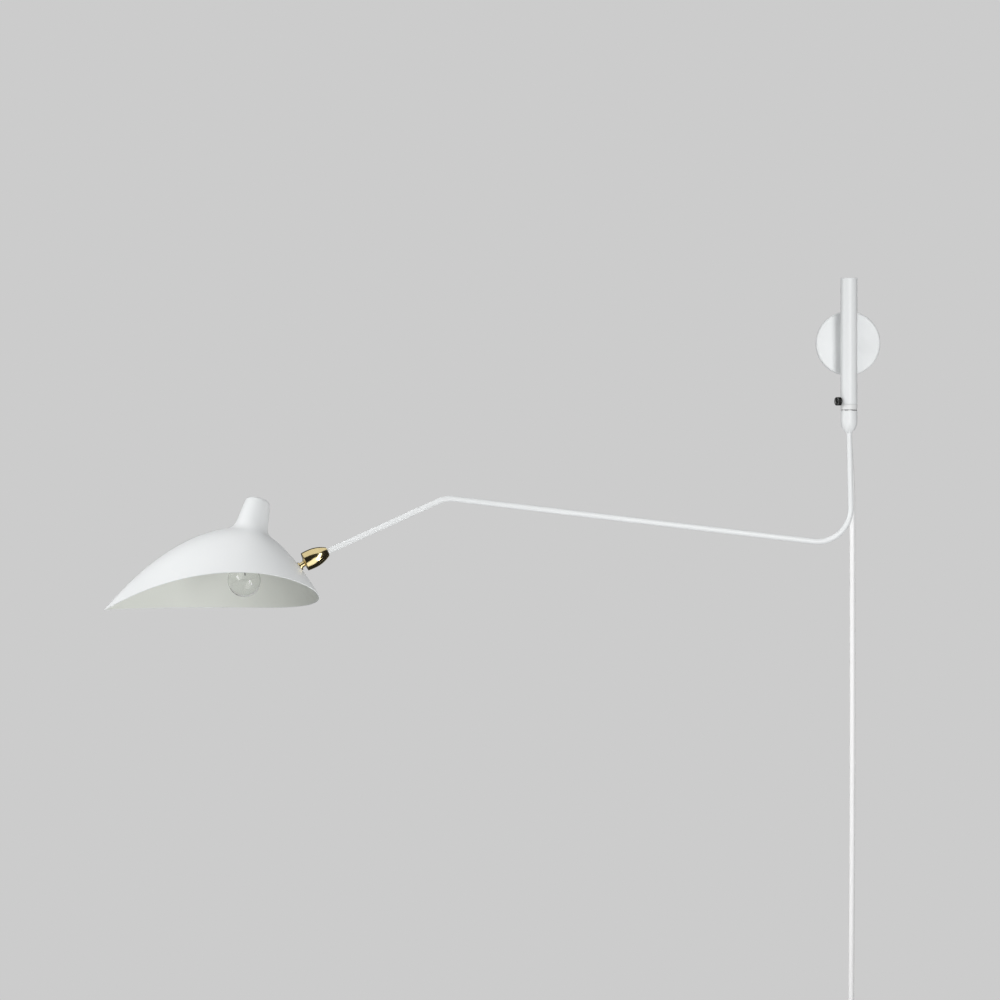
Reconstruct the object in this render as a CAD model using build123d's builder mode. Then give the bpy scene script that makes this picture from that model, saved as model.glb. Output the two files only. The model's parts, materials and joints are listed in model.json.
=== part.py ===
"""A plug-in wall lamp with a swinging arm and a visor shade, in millimetres.

The origin is the middle of the back face, on the wall. X runs right along the wall,
Y runs into the wall and Z is up. The arm and the shade stand as they are at rest.
"""

import os
from itertools import combinations
from math import acos, atan, atan2, cos, degrees, pi, radians, sin, sqrt, tan

from build123d import *

# Wall canopy
canopy_radius = 40.0
canopy_depth = 22.0
canopy_sheet = 1.2
canopy_edge = 2.4
plate_side_gap = 2.8
back_plate_thickness = 2.0
wall_hole_spacing = 50.0
wall_hole_radius = 2.25
ear_width = 10.0
ear_reach = 12.0
set_screw_radius = 1.5
set_screw_length = 6.5
hex_socket_radius = 0.9
hex_socket_depth = 2.2

# Neck between the canopy and the pole
neck_gap = 12.0
neck_radius = 7.0
neck_bore = 3.2
spigot_radius = 5.0
neck_nut_width = 15.0
neck_nut_height = 4.5
neck_washer_radius = 9.5
washer_sheet = 1.2
spigot_spare = 2.0

# Pole and its bushes
pole_radius = 10.5
pole_wall = 2.0
pole_top = 81.0
pole_bottom = -76.0
pole_edge = 0.8
cap_thickness = 5.0
bush_flange_height = 7.0
lower_bush_height = 24.0
upper_bush_top = -16.0
upper_bush_height = 14.0

# Clamp screw in the foot of the pole
clamp_height = 3.3
clamp_turn = 30.0
clamp_screw_radius = 2.0
clamp_head_radius = 5.4
clamp_head_length = 6.0
clamp_head_gap = 2.0
clamp_shoulder_radius = 3.3
clamp_shoulder_height = 1.0
knurl_count = 20
knurl_radius = 0.55

# Arm
spindle_radius = 6.0
spindle_bore = 3.2
clip_radius = 8.0
clip_height = 1.2
clip_spare = 1.5
thrust_washer_height = 0.8
ferrule_height = 27.0
ferrule_straight = 13.5
ferrule_tip_radius = 4.2
ferrule_edge = 0.6
spindle_seat_depth = 11.0
arm_swing = 8.0
arm_radius = 3.5
arm_wall = 1.0
arm_elbow_x = -3.5
arm_elbow_z = -252.7
arm_knee_x = 507.0
arm_knee_z = -193.0
arm_end_slope = 24.25
arm_end_run = 186.7
elbow_bend = 42.0
knee_bend = 35.0
lead_radius = 2.2

# Swivel: sizes along its axis are measured from the mouth towards the arm
swivel_length = 31.0
swivel_mouth_radius = 11.7
swivel_belly_radius = 12.1
swivel_belly_at = 9.0
swivel_nose_radius = 5.7
swivel_wall = 1.5
swivel_chamber_depth = 17.0
collar_radius = 6.5
collar_height = 3.2
collar_side_gap = 1.0
arm_seat_length = 8.5
ball_radius = 8.0
ball_depth = 5.5
ring_height = 3.8
ring_mouth_radius = 6.8
ring_lip = 1.0
cup_back = 16.0
cup_front = 9.0
cup_bore = 2.8
spring_sheet = 0.5
spring_rise = 1.0

# Ball stud
stud_radius = 3.5
stud_bore = 2.0
stud_flange_radius = 5.5
stud_flange_height = 2.0
stud_reach = 14.8
stud_seat_inset = 25.2
stud_nut_width = 11.0
stud_nut_height = 4.0
stud_washer_radius = 7.0
stud_washer_height = 1.0
stud_seat_gap = 0.6
stud_spare = 1.0

# Shade: X from the middle of its round back, Z from the level of its tip
shade_front = 173.3
shade_half_width = 92.3
crown_height = 103.6
rear_fall_power = 1.8
rim_arch_radius = 550.0
rim_peak_x = -8.3
shade_sheet = 1.2
shade_roll = 14.3
crown_eye_radius = 6.0

# Chimney: heights are measured from the crown eye along its own leaning axis
chimney_lean = 13.5
chimney_height = 38.0
chimney_side_radius = 16.3
chimney_foot_radius = 20.0
chimney_foot = 3.5
chimney_flare = 8.0
chimney_flare_drop = 20.0
chimney_edge = 7.5

# Lampholder: heights are measured from the crown eye along the lamp's axis
boss_radius = 9.0
boss_foot = 22.0
nipple_radius = 5.0
nipple_bore = 3.0
nipple_foot = 8.5
nipple_top = 32.0
holder_radius = 12.0
holder_back = 13.5
holder_shell_wall = 0.5
crown_ring_radius = 17.5
crown_ring_drop = 10.5
shade_lead_radius = 1.7
shade_lead_drop = 19.5
shade_lead_stud_run = 11.0
shade_lead_port_run = 14.0
shade_lead_bend = 7.5

# Bulb and the holder's mouth: heights are measured up from the middle of the bulb
bulb_x = -1.0
bulb_z = 37.5
lamp_lean = 7.3
holder_mouth = 32.0
holder_floor = 58.5
bulb_radius = 20.5
bulb_glass_wall = 0.8
bulb_neck_radius = 6.2
bulb_shoulder_angle = 52.0
bulb_cap_radius = 6.75
bulb_cap_foot = 30.0
bulb_cap_top = 51.0
bulb_tip = 55.5
bulb_tip_radius = 2.4
stem_radius = 2.6
stem_tip = 14.0
filament_height = 8.0
filament_half_width = 6.0
filament_radius = 0.35

# Cord, plug and what joins them to the canopy
cord_radius = 3.5
cord_depth = 10.0
gland_flange_radius = 7.5
gland_flange_height = 2.6
gland_neck_radius = 5.5
gland_top_radius = 6.2
gland_tip_radius = 4.6
gland_length = 28.0
gland_nut_radius = 7.6
gland_nut_height = 3.2
terminal_width = 18.0
terminal_height = 14.0
terminal_depth = 12.0
terminal_top = -10.0
terminal_screw_radius = 1.6
terminal_screw_spacing = 9.0
terminal_screw_length = 4.0
terminal_screw_depth = 6.0
cord_bends = ((0.0, 0.039), (5.5, 0.126), (5.8, 0.574), (3.9, 0.951))
coil_center_x = 2.5
coil_center_z = -935.0
coil_mid_radius = 36.0
coil_turns_per_layer = 2
coil_layers = 2
coil_pitch = 7.6
coil_entry_rise = 45.0
coil_stations_per_turn = 4
coil_climb_turns = 0.5
coil_sample_count = 600
tail_drop = 20.0
tail_run = 25.0
tail_sway = 3.0
tie_turn = 0.75
tie_width = 8.0
tie_sheet = 1.2
tie_slack = 0.6
plug_width = 35.0
plug_thickness = 14.0
plug_length = 30.0
plug_neck_width = 22.0
plug_neck_thickness = 12.0
plug_boot_length = 22.0
plug_boot_radius = 5.2
plug_boot_tip_radius = 4.5
plug_corner = 5.0
pin_radius = 2.0
pin_spacing = 18.6
pin_length = 19.0
pin_sunk = 8.0
pin_root_radius = 1.5
pin_tip_round = 1.0

# Clearances
running_fit = 0.05
ball_fit = 0.1
body_gap = 0.3
thread_play = 0.1

# A bend of a cord or lead takes up this share of the shorter run beside it
bend_share = 0.45

os.makedirs("parts", exist_ok=True)


def save(piece, name):
    """Label a finished piece and write it."""
    piece.part.label = name
    export_step(piece.part, f"parts/{name}.step")


def turning_plane(base):
    """The plane through a base plane's axis: local X is across, local Y is along the axis."""
    return Plane(origin=base.origin, x_dir=base.x_dir, z_dir=-base.y_dir)


def turning_axis(base):
    """The axis that a base plane's turned pieces share."""
    return Axis(base.origin, base.z_dir)


def tube_radii(points, diameter, name):
    """The bend radius at each inner point of a cord's route, as large as its runs allow."""
    radii = []
    for before, point, after in zip(points, points[1:], points[2:]):
        run_in = Vector(*point) - Vector(*before)
        run_out = Vector(*after) - Vector(*point)
        half_turn = radians(run_in.get_angle(run_out)) / 2
        radii.append(bend_share * min(run_in.length, run_out.length) / tan(half_turn))
    print(f"{name}: radii {[round(radius) for radius in radii]}, diameter {diameter}")
    return radii


# Places that several pieces share
back_plate_radius = canopy_radius - canopy_sheet - plate_side_gap
stand_off = canopy_depth + neck_gap + pole_radius
pole_bore = pole_radius - pole_wall
arm_bore = arm_radius - arm_wall
pole_base = Plane((0, -stand_off, 0))
swing = radians(arm_swing)
arm_plane = Plane(
    origin=(0, -stand_off, 0),
    x_dir=(-cos(swing), -sin(swing), 0),
    z_dir=(-sin(swing), cos(swing), 0),
)
bush_foot = pole_bottom - bush_flange_height
washer_top = bush_foot - body_gap
ferrule_top = washer_top - thrust_washer_height
ferrule_foot = ferrule_top - ferrule_height
arm_start = (0.0, ferrule_top - spindle_seat_depth)
spindle_foot = arm_start[1] + body_gap

arm_elbow = (arm_elbow_x, arm_elbow_z)
arm_knee = (arm_knee_x, arm_knee_z)
end_slope = radians(arm_end_slope)
end_step = (cos(end_slope), -sin(end_slope))


def along_end(distance):
    """The point of the arm's last run at a distance past the knee, in the arm's plane."""
    return (arm_knee[0] + distance * end_step[0], arm_knee[1] + distance * end_step[1])


ball_center = arm_plane.from_local_coords(Vector(*along_end(arm_end_run)))
mouth_center = arm_plane.from_local_coords(Vector(*along_end(arm_end_run + ball_depth)))
arm_back = (ball_center - mouth_center).normalized()
swivel_base = Plane(origin=mouth_center, x_dir=-arm_plane.z_dir, z_dir=arm_back)

# Shade frame: the stud stands square on the crest of the back
rim_arch_rise = rim_arch_radius - sqrt(rim_arch_radius**2 - (shade_front + rim_peak_x) ** 2)


def rim_height(x):
    """Height of the arched rim over the tip, an arc seen from the side."""
    return rim_arch_rise - rim_arch_radius + sqrt(rim_arch_radius**2 - (x - rim_peak_x) ** 2)


rear_height = rim_height(shade_half_width)
rear_fall = crown_height - rear_height
stud_seat_x = shade_half_width - stud_seat_inset
seat_share = stud_seat_x / shade_half_width
seat_height = crown_height - rear_fall * seat_share**rear_fall_power
seat_slope = rear_fall_power * rear_fall * seat_share ** (rear_fall_power - 1) / shade_half_width
seat_angle = atan(1 / seat_slope)
ball_in_shade = (stud_seat_x + stud_reach * cos(seat_angle), seat_height + stud_reach * sin(seat_angle))
roll = radians(shade_roll)
shade_x = Vector(1, 0, 0)
shade_z = Vector(0, sin(roll), cos(roll))
shade_plane = Plane(
    origin=ball_center - shade_x * ball_in_shade[0] - shade_z * ball_in_shade[1],
    x_dir=shade_x,
    z_dir=shade_z,
)
shade_middle = turning_plane(shade_plane)
stud_dir = -(shade_x * cos(seat_angle) + shade_z * sin(seat_angle))
stud_base = Plane(origin=ball_center, x_dir=shade_plane.y_dir, z_dir=stud_dir)
lean = radians(lamp_lean)
lamp_up = shade_x * sin(lean) + shade_z * cos(lean)
lamp_base = Plane(
    origin=shade_middle.from_local_coords(Vector(bulb_x, bulb_z)),
    x_dir=shade_x * cos(lean) - shade_z * sin(lean),
    z_dir=lamp_up,
)
crown_eye_x = bulb_x + (crown_height - bulb_z) * tan(lean)
crown_rise = (crown_height - bulb_z) / cos(lean)
crown_base = lamp_base.offset(crown_rise)
tip_lean = radians(chimney_lean)
chimney_base = Plane(
    origin=crown_base.origin,
    x_dir=shade_x * cos(tip_lean) - shade_z * sin(tip_lean),
    z_dir=shade_x * sin(tip_lean) + shade_z * cos(tip_lean),
)

# Wall canopy: back plate, cover, set screws
with BuildPart() as back_plate:
    with BuildSketch(Plane.XZ):
        Circle(back_plate_radius)
        with GridLocations(wall_hole_spacing, 0, 2, 1):
            Circle(wall_hole_radius, mode=Mode.SUBTRACT)
    extrude(amount=back_plate_thickness)
    ear_offset = back_plate_radius - back_plate_thickness - ear_width**2 / (8 * back_plate_radius)
    for side in (-1, 1):
        with BuildSketch(Plane.XZ.offset(back_plate_thickness)):
            with Locations((side * ear_offset, 0)):
                Rectangle(back_plate_thickness, ear_width)
        extrude(amount=ear_reach)
        ear_hole = Plane(
            origin=(side * ear_offset, -canopy_depth / 2, 0), x_dir=(0, 0, 1), z_dir=(side, 0, 0)
        )
        with BuildSketch(ear_hole):
            Circle(set_screw_radius)
        extrude(amount=back_plate_thickness, both=True, mode=Mode.SUBTRACT)
save(back_plate, "back_plate")

with BuildPart() as canopy:
    with BuildSketch(Plane.XZ):
        Circle(canopy_radius)
    extrude(amount=canopy_depth)
    fillet(canopy.faces().sort_by(Axis.Y)[0].edges(), canopy_edge)
    offset(amount=-canopy_sheet, openings=canopy.faces().sort_by(Axis.Y)[-1])
    with BuildSketch(Plane.XZ.offset(canopy_depth)):
        Circle(spigot_radius + thread_play)
    extrude(amount=-2 * canopy_sheet, mode=Mode.SUBTRACT)
    with BuildSketch(Plane((0, -cord_depth, -canopy_radius))):
        Circle(gland_neck_radius + thread_play)
    extrude(amount=canopy_radius / 4, both=True, mode=Mode.SUBTRACT)
    for side in (-1, 1):
        rim_hole = Plane(
            origin=(side * canopy_radius, -canopy_depth / 2, 0), x_dir=(0, 0, 1), z_dir=(side, 0, 0)
        )
        with BuildSketch(rim_hole):
            Circle(set_screw_radius + thread_play)
        extrude(amount=2 * canopy_sheet, both=True, mode=Mode.SUBTRACT)
save(canopy, "canopy")

with BuildPart() as canopy_screws:
    for side in (-1, 1):
        screw_end = Plane(
            origin=(side * canopy_radius, -canopy_depth / 2, 0), x_dir=(0, 0, 1), z_dir=(-side, 0, 0)
        )
        with BuildSketch(screw_end):
            Circle(set_screw_radius)
        extrude(amount=set_screw_length)
        with BuildSketch(screw_end):
            RegularPolygon(hex_socket_radius, 6)
        extrude(amount=hex_socket_depth, mode=Mode.SUBTRACT)
save(canopy_screws, "canopy_screws")

# Neck, held inside the canopy by a washer and a nut
canopy_front = Plane.XZ.offset(canopy_depth)
canopy_inside = canopy_depth - canopy_sheet
spigot_length = canopy_sheet + washer_sheet + neck_nut_height + spigot_spare

with BuildPart() as neck:
    with BuildSketch(canopy_front):
        Circle(neck_radius)
    extrude(amount=neck_gap + pole_radius)
    with BuildSketch(canopy_front):
        Circle(spigot_radius)
    extrude(amount=-spigot_length)
    with BuildSketch(pole_base):
        Circle(pole_radius)
    extrude(amount=2 * neck_radius, both=True, mode=Mode.SUBTRACT)
    with BuildSketch(canopy_front.offset(-spigot_length)):
        Circle(neck_bore)
    extrude(amount=spigot_length + neck_gap + pole_radius, mode=Mode.SUBTRACT)
save(neck, "neck")

with BuildPart() as neck_washer:
    with BuildSketch(Plane.XZ.offset(canopy_inside)):
        Circle(neck_washer_radius)
        Circle(spigot_radius, mode=Mode.SUBTRACT)
    extrude(amount=-washer_sheet)
save(neck_washer, "neck_washer")

with BuildPart() as neck_nut:
    with BuildSketch(Plane.XZ.offset(canopy_inside - washer_sheet)):
        RegularPolygon(neck_nut_width / 2, 6, major_radius=False)
        Circle(spigot_radius, mode=Mode.SUBTRACT)
    extrude(amount=-neck_nut_height)
save(neck_nut, "neck_nut")

# Pole with its cap and bushes
clamp_level = pole_bottom + clamp_height
clamp_angle = radians(180 + clamp_turn)
clamp_base = Plane(
    origin=(0, -stand_off, clamp_level),
    x_dir=(0, 0, 1),
    z_dir=(cos(clamp_angle), sin(clamp_angle), 0),
)

with BuildPart() as pole:
    with BuildSketch(pole_base.offset(pole_bottom)):
        Circle(pole_radius)
        Circle(pole_bore, mode=Mode.SUBTRACT)
    extrude(amount=pole_top - pole_bottom)
    fillet(pole.edges().group_by(Axis.Z)[-1].sort_by(SortBy.RADIUS)[-1], pole_edge)
    with BuildSketch(Plane.XZ):
        Circle(neck_bore)
    extrude(amount=stand_off, mode=Mode.SUBTRACT)
    with BuildSketch(clamp_base):
        Circle(clamp_screw_radius + running_fit)
    extrude(amount=2 * pole_radius, mode=Mode.SUBTRACT)
save(pole, "pole")

with BuildPart() as pole_cap:
    with BuildSketch(pole_base.offset(pole_top)):
        Circle(pole_bore)
    extrude(amount=-cap_thickness)
    chamfer(pole_cap.edges().group_by(Axis.Z)[-1], pole_edge / 4)
save(pole_cap, "pole_cap")

with BuildPart() as lower_bush:
    with BuildSketch(pole_base.offset(bush_foot)):
        Circle(pole_radius)
    extrude(amount=bush_flange_height)
    chamfer(lower_bush.edges(), pole_edge / 2)
    with BuildSketch(pole_base.offset(pole_bottom)):
        Circle(pole_bore)
    extrude(amount=lower_bush_height)
    with BuildSketch(pole_base.offset(bush_foot)):
        Circle(spindle_radius + running_fit)
    extrude(amount=bush_flange_height + lower_bush_height, mode=Mode.SUBTRACT)
    with BuildSketch(clamp_base):
        Circle(clamp_screw_radius + running_fit)
    extrude(amount=2 * pole_radius, mode=Mode.SUBTRACT)
save(lower_bush, "lower_bush")

with BuildPart() as upper_bush:
    with BuildSketch(pole_base.offset(upper_bush_top - upper_bush_height)):
        Circle(pole_bore)
        Circle(spindle_radius + running_fit, mode=Mode.SUBTRACT)
    extrude(amount=upper_bush_height)
save(upper_bush, "upper_bush")

# Knurled clamp screw, whose tip stops just short of the spindle
clamp_head_at = pole_radius + clamp_head_gap
with BuildPart() as clamp_screw:
    with BuildSketch(clamp_base.offset(spindle_radius + body_gap)):
        Circle(clamp_screw_radius)
    extrude(amount=clamp_head_at - spindle_radius - body_gap)
    with BuildSketch(clamp_base.offset(clamp_head_at)):
        Circle(clamp_head_radius)
        with PolarLocations(clamp_head_radius, knurl_count):
            Circle(knurl_radius, mode=Mode.SUBTRACT)
    extrude(amount=clamp_head_length)
    with BuildSketch(clamp_base.offset(clamp_head_at)):
        Circle(clamp_shoulder_radius)
    extrude(amount=-clamp_shoulder_height)
save(clamp_screw, "clamp_screw")

# Arm: spindle, clip, washer, ferrule, bent tube and the lead inside it
with BuildPart() as spindle:
    spindle_top = upper_bush_top + body_gap + clip_height + clip_spare
    with BuildSketch(pole_base.offset(spindle_foot)):
        Circle(spindle_radius)
        Circle(spindle_bore, mode=Mode.SUBTRACT)
    extrude(amount=spindle_top - spindle_foot)
save(spindle, "spindle")

with BuildPart() as spindle_clip:
    with BuildSketch(pole_base.offset(upper_bush_top + body_gap)):
        Circle(clip_radius)
        Circle(spindle_radius, mode=Mode.SUBTRACT)
    extrude(amount=clip_height)
save(spindle_clip, "spindle_clip")

with BuildPart() as thrust_washer:
    with BuildSketch(pole_base.offset(ferrule_top)):
        Circle(pole_radius - ferrule_edge)
        Circle(spindle_radius, mode=Mode.SUBTRACT)
    extrude(amount=thrust_washer_height)
save(thrust_washer, "thrust_washer")

arm_end_at = swivel_chamber_depth + body_gap + spring_rise + spring_sheet + body_gap
arm_tip = along_end(arm_end_run + ball_depth - arm_end_at)
drop = Vector(*arm_elbow) - Vector(*arm_start)
drop_point = arm_plane.from_local_coords(Vector(*arm_start))
drop_base = Plane(origin=drop_point, z_dir=arm_plane.from_local_coords(Vector(*arm_elbow)) - drop_point)

with BuildPart() as ferrule:
    with BuildSketch(turning_plane(pole_base)):
        with BuildLine():
            shoulder = ferrule_top - ferrule_straight
            Polyline((0, ferrule_foot), (0, ferrule_top), (pole_radius, ferrule_top), (pole_radius, shoulder))
            TangentArc((pole_radius, shoulder), (ferrule_tip_radius, ferrule_foot), tangent=(0, -1))
            Line((ferrule_tip_radius, ferrule_foot), (0, ferrule_foot))
        make_face()
    revolve(axis=turning_axis(pole_base))
    chamfer(ferrule.edges().group_by(Axis.Z)[-1], ferrule_edge)
    with BuildSketch(pole_base.offset(ferrule_top)):
        Circle(spindle_radius)
    extrude(amount=-spindle_seat_depth, mode=Mode.SUBTRACT)
    with BuildSketch(drop_base.offset(-body_gap)):
        Circle(arm_radius)
    extrude(amount=2 * ferrule_height, mode=Mode.SUBTRACT)
save(ferrule, "ferrule")

with BuildPart() as arm_tube:
    with BuildLine(arm_plane) as arm_line:
        FilletPolyline(arm_start, arm_elbow, arm_knee, arm_tip, radius=[elbow_bend, knee_bend])
    with BuildSketch(drop_base):
        Circle(arm_radius)
        Circle(arm_bore, mode=Mode.SUBTRACT)
    sweep(path=arm_line.wire())
save(arm_tube, "arm_tube")
tube_volume = pi * (arm_radius**2 - arm_bore**2) * arm_line.wire().length
print(f"arm tube: volume {arm_tube.part.volume:.0f}, section by length {tube_volume:.0f}")

lead_split = upper_bush_top - upper_bush_height / 2
lead_tip = along_end(arm_end_run - ball_radius - body_gap - lead_radius / 2)
spindle_drop = Vector(*arm_start) - Vector(0, lead_split)
lead_turn = radians(spindle_drop.get_angle(drop))
lead_lean_radius = bend_share * spindle_drop.length / tan(lead_turn / 2)

with BuildPart() as arm_lead:
    with BuildLine(arm_plane) as lead_line:
        FilletPolyline(
            (0, lead_split - body_gap), arm_start, arm_elbow, arm_knee, lead_tip,
            radius=[lead_lean_radius, elbow_bend, knee_bend],
        )
    with BuildSketch(pole_base.offset(lead_split - body_gap)):
        Circle(lead_radius)
    sweep(path=lead_line.wire())
save(arm_lead, "arm_lead")

# Lead from the terminals through the neck and down the pole
lead_depth = back_plate_thickness + terminal_depth / 2
pole_lead_bend = pole_bore - lead_radius
terminal_lead_bend = -terminal_top * bend_share
with BuildPart() as pole_lead:
    with BuildLine() as pole_lead_line:
        FilletPolyline(
            (0, -lead_depth, terminal_top),
            (0, -lead_depth, 0),
            (0, -stand_off, 0),
            (0, -stand_off, lead_split),
            radius=[terminal_lead_bend, pole_lead_bend],
        )
    with BuildSketch(Plane((0, -lead_depth, terminal_top))):
        Circle(lead_radius)
    sweep(path=pole_lead_line.wire())
save(pole_lead, "pole_lead")

# Swivel on the arm's end: bullet housing, mouth ring, cup and spring
chamber_radius = swivel_mouth_radius - swivel_wall
collar_room = collar_radius + collar_side_gap
collar_at = swivel_length - arm_seat_length - body_gap

with BuildPart() as swivel_body:
    with BuildSketch(turning_plane(swivel_base)):
        with BuildLine():
            Line((arm_radius + running_fit, swivel_length), (swivel_nose_radius, swivel_length))
            TangentArc(
                (swivel_belly_radius, swivel_belly_at), (swivel_nose_radius, swivel_length), tangent=(0, 1)
            )
            TangentArc(
                (swivel_belly_radius, swivel_belly_at), (swivel_mouth_radius, 0), tangent=(0, -1)
            )
            Polyline(
                (swivel_mouth_radius, 0),
                (chamber_radius, 0),
                (chamber_radius, swivel_chamber_depth),
                (collar_room, swivel_chamber_depth),
                (collar_room, swivel_length - arm_seat_length),
                (arm_radius + running_fit, swivel_length - arm_seat_length),
                (arm_radius + running_fit, swivel_length),
            )
        make_face()
    revolve(axis=turning_axis(swivel_base))
save(swivel_body, "swivel_body")

with BuildPart() as arm_collar:
    with BuildSketch(swivel_base.offset(collar_at)):
        Circle(collar_radius)
        Circle(arm_radius, mode=Mode.SUBTRACT)
    extrude(amount=-collar_height)
save(arm_collar, "arm_collar")

ball_seat = ball_radius + ball_fit
lip_at = ball_depth - sqrt(ball_seat**2 - ring_mouth_radius**2)
seat_edge = sqrt(ball_seat**2 - (ball_depth - ring_height) ** 2)
lip_angle = degrees(atan2(lip_at - ball_depth, ring_mouth_radius))
seat_angle_end = degrees(atan2(ring_height - ball_depth, seat_edge))
with BuildPart() as swivel_ring:
    with BuildSketch(turning_plane(swivel_base)):
        with BuildLine():
            Polyline(
                (seat_edge, ring_height),
                (chamber_radius, ring_height),
                (chamber_radius, 0),
                (ring_mouth_radius + ring_lip, 0),
                (ring_mouth_radius, lip_at),
            )
            CenterArc((0, ball_depth), ball_seat, lip_angle, seat_angle_end - lip_angle)
        make_face()
    revolve(axis=turning_axis(swivel_base))
save(swivel_ring, "swivel_ring")

cup_rim = sqrt(ball_seat**2 - (cup_front - ball_depth) ** 2)
cup_floor = ball_depth + sqrt(ball_seat**2 - cup_bore**2)
cup_start = degrees(atan2(cup_front - ball_depth, cup_rim))
cup_stop = degrees(atan2(cup_floor - ball_depth, cup_bore))
with BuildPart() as ball_cup:
    with BuildSketch(turning_plane(swivel_base)):
        with BuildLine():
            CenterArc((0, ball_depth), ball_seat, cup_start, cup_stop - cup_start)
            Polyline(
                (cup_bore, cup_floor),
                (cup_bore, cup_back),
                (chamber_radius - ball_fit, cup_back),
                (chamber_radius - ball_fit, cup_front),
                (cup_rim, cup_front),
            )
        make_face()
    revolve(axis=turning_axis(swivel_base))
save(ball_cup, "ball_cup")

with BuildPart() as spring_washer:
    with BuildSketch(turning_plane(swivel_base)):
        with BuildLine():
            Polyline(
                (collar_radius, cup_back),
                (chamber_radius - ball_fit, cup_back + spring_rise),
                (chamber_radius - ball_fit, cup_back + spring_rise - spring_sheet),
                (collar_radius + spring_sheet, cup_back),
                close=True,
            )
        make_face()
    revolve(axis=turning_axis(swivel_base))
save(spring_washer, "spring_washer")

# Ball stud, with the washer and nut that hold it in the shade
flange_face = stud_reach - body_gap
stud_washer_at = stud_reach + shade_sheet + stud_seat_gap
stud_nut_at = stud_washer_at + stud_washer_height
stud_end = stud_nut_at + stud_nut_height + stud_spare

with BuildPart() as ball_stud:
    with Locations(stud_base):
        Sphere(ball_radius)
    with BuildSketch(stud_base):
        Circle(stud_radius)
    extrude(amount=stud_end)
    with BuildSketch(stud_base.offset(flange_face)):
        Circle(stud_flange_radius)
    extrude(amount=-stud_flange_height)
    with BuildSketch(stud_base.offset(-ball_radius)):
        Circle(stud_bore)
    extrude(amount=ball_radius + stud_end, mode=Mode.SUBTRACT)
save(ball_stud, "ball_stud")

with BuildPart() as stud_washer:
    with BuildSketch(stud_base.offset(stud_washer_at)):
        Circle(stud_washer_radius)
        Circle(stud_radius, mode=Mode.SUBTRACT)
    extrude(amount=stud_washer_height)
save(stud_washer, "stud_washer")

with BuildPart() as stud_nut:
    with BuildSketch(stud_base.offset(stud_nut_at)):
        RegularPolygon(stud_nut_width / 2, 6, major_radius=False)
        Circle(stud_radius, mode=Mode.SUBTRACT)
    extrude(amount=stud_nut_height)
save(stud_nut, "stud_nut")


# Shade: seen from above, half a round at the back and a parabola that comes to the tip in front
def shade_height(x, y):
    """Height of the outer face: a parabola across, from the crest to the rim at that length."""
    if x < 0:
        share = 1 - (x / shade_front) ** 2
        crest = crown_height * share
        half_width = shade_half_width * share
    else:
        share = min(1.0, x / shade_half_width)
        crest = crown_height - rear_fall * share**rear_fall_power
        half_width = shade_half_width * sqrt(1 - share**2)
    across = y / half_width if y > 1e-9 else 0.0
    return crest - (crest - rim_height(x)) * across**2


def rim_reach(azimuth):
    """Distance from the crown eye to the rim, seen from above."""
    c = cos(azimuth)
    s = sin(azimuth)
    reach = -crown_eye_x * c + sqrt(shade_half_width**2 - (crown_eye_x * s) ** 2)
    if crown_eye_x + reach * c >= 0:
        return reach
    ratio = shade_half_width / shade_front**2
    a = ratio * c * c
    b = s + 2 * ratio * crown_eye_x * c
    d = ratio * crown_eye_x**2 - shade_half_width
    return (-b + sqrt(b * b - 4 * a * d)) / (2 * a)


def section_points(azimuth, depth, shares):
    """Points of one upright section through the crown eye, a depth below the outer face."""
    points = []
    step = 1e-4
    for share in shares:
        reach = crown_eye_radius + share * (rim_reach(azimuth) - crown_eye_radius)

        def height(distance):
            return shade_height(crown_eye_x + distance * cos(azimuth), distance * sin(azimuth))

        slope = (height(reach) - height(reach - step)) / step
        length = sqrt(1 + slope * slope)
        points.append((reach + depth * slope / length, height(reach) - depth / length))
    return points


def section_plane(azimuth):
    """The upright plane through the crown eye at an azimuth."""
    out = shade_plane.x_dir * cos(azimuth) + shade_plane.y_dir * sin(azimuth)
    eye = shade_plane.origin + shade_plane.x_dir * crown_eye_x
    return Plane(origin=eye, x_dir=out, z_dir=out.cross(shade_plane.z_dir))


section_turns = (0, 22, 44, 66, 88, 106, 122, 136, 148, 158, 166, 173, 180)
section_shares = (0, 0.2, 0.4, 0.6, 0.8, 0.92, 1)
crown_shares = (0, 0.17, 0.34, 0.5)
middle_plane = Plane(origin=shade_plane.origin, x_dir=shade_plane.x_dir, z_dir=shade_plane.y_dir)


def crown_form(depth):
    """The filled space under the crown, a depth below the outer face."""
    with BuildPart() as form:
        for turn in section_turns:
            with BuildSketch(section_plane(radians(turn))):
                with BuildLine():
                    crest = Spline(*section_points(radians(turn), depth, crown_shares))
                    floor = (crest @ 1).Y
                    Polyline(crest @ 1, ((crest @ 0).X, floor), crest @ 0)
                make_face()
        loft()
        mirror(about=middle_plane)
    return form.part


with BuildPart() as shade:
    for turn in section_turns:
        with BuildSketch(section_plane(radians(turn))):
            with BuildLine():
                outer = Spline(*section_points(radians(turn), 0, section_shares))
                inner = Spline(*section_points(radians(turn), shade_sheet, section_shares))
                Line(outer @ 0, inner @ 0)
                Line(outer @ 1, inner @ 1)
            make_face()
    loft()
    mirror(about=middle_plane)
    with BuildSketch(lamp_base):
        Circle(holder_radius + body_gap)
    extrude(amount=crown_rise + chimney_height, mode=Mode.SUBTRACT)
    with BuildSketch(stud_base):
        Circle(stud_radius + thread_play)
    extrude(amount=stud_end, mode=Mode.SUBTRACT)
save(shade, "shade")

# Chimney over the crown, hollow but for the boss that takes the lampholder's nipple
chimney_shoulder = chimney_height - chimney_edge
flat_radius = chimney_side_radius - chimney_edge
flare_radius = chimney_foot_radius + chimney_flare
flare_foot = chimney_foot - chimney_flare_drop

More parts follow.
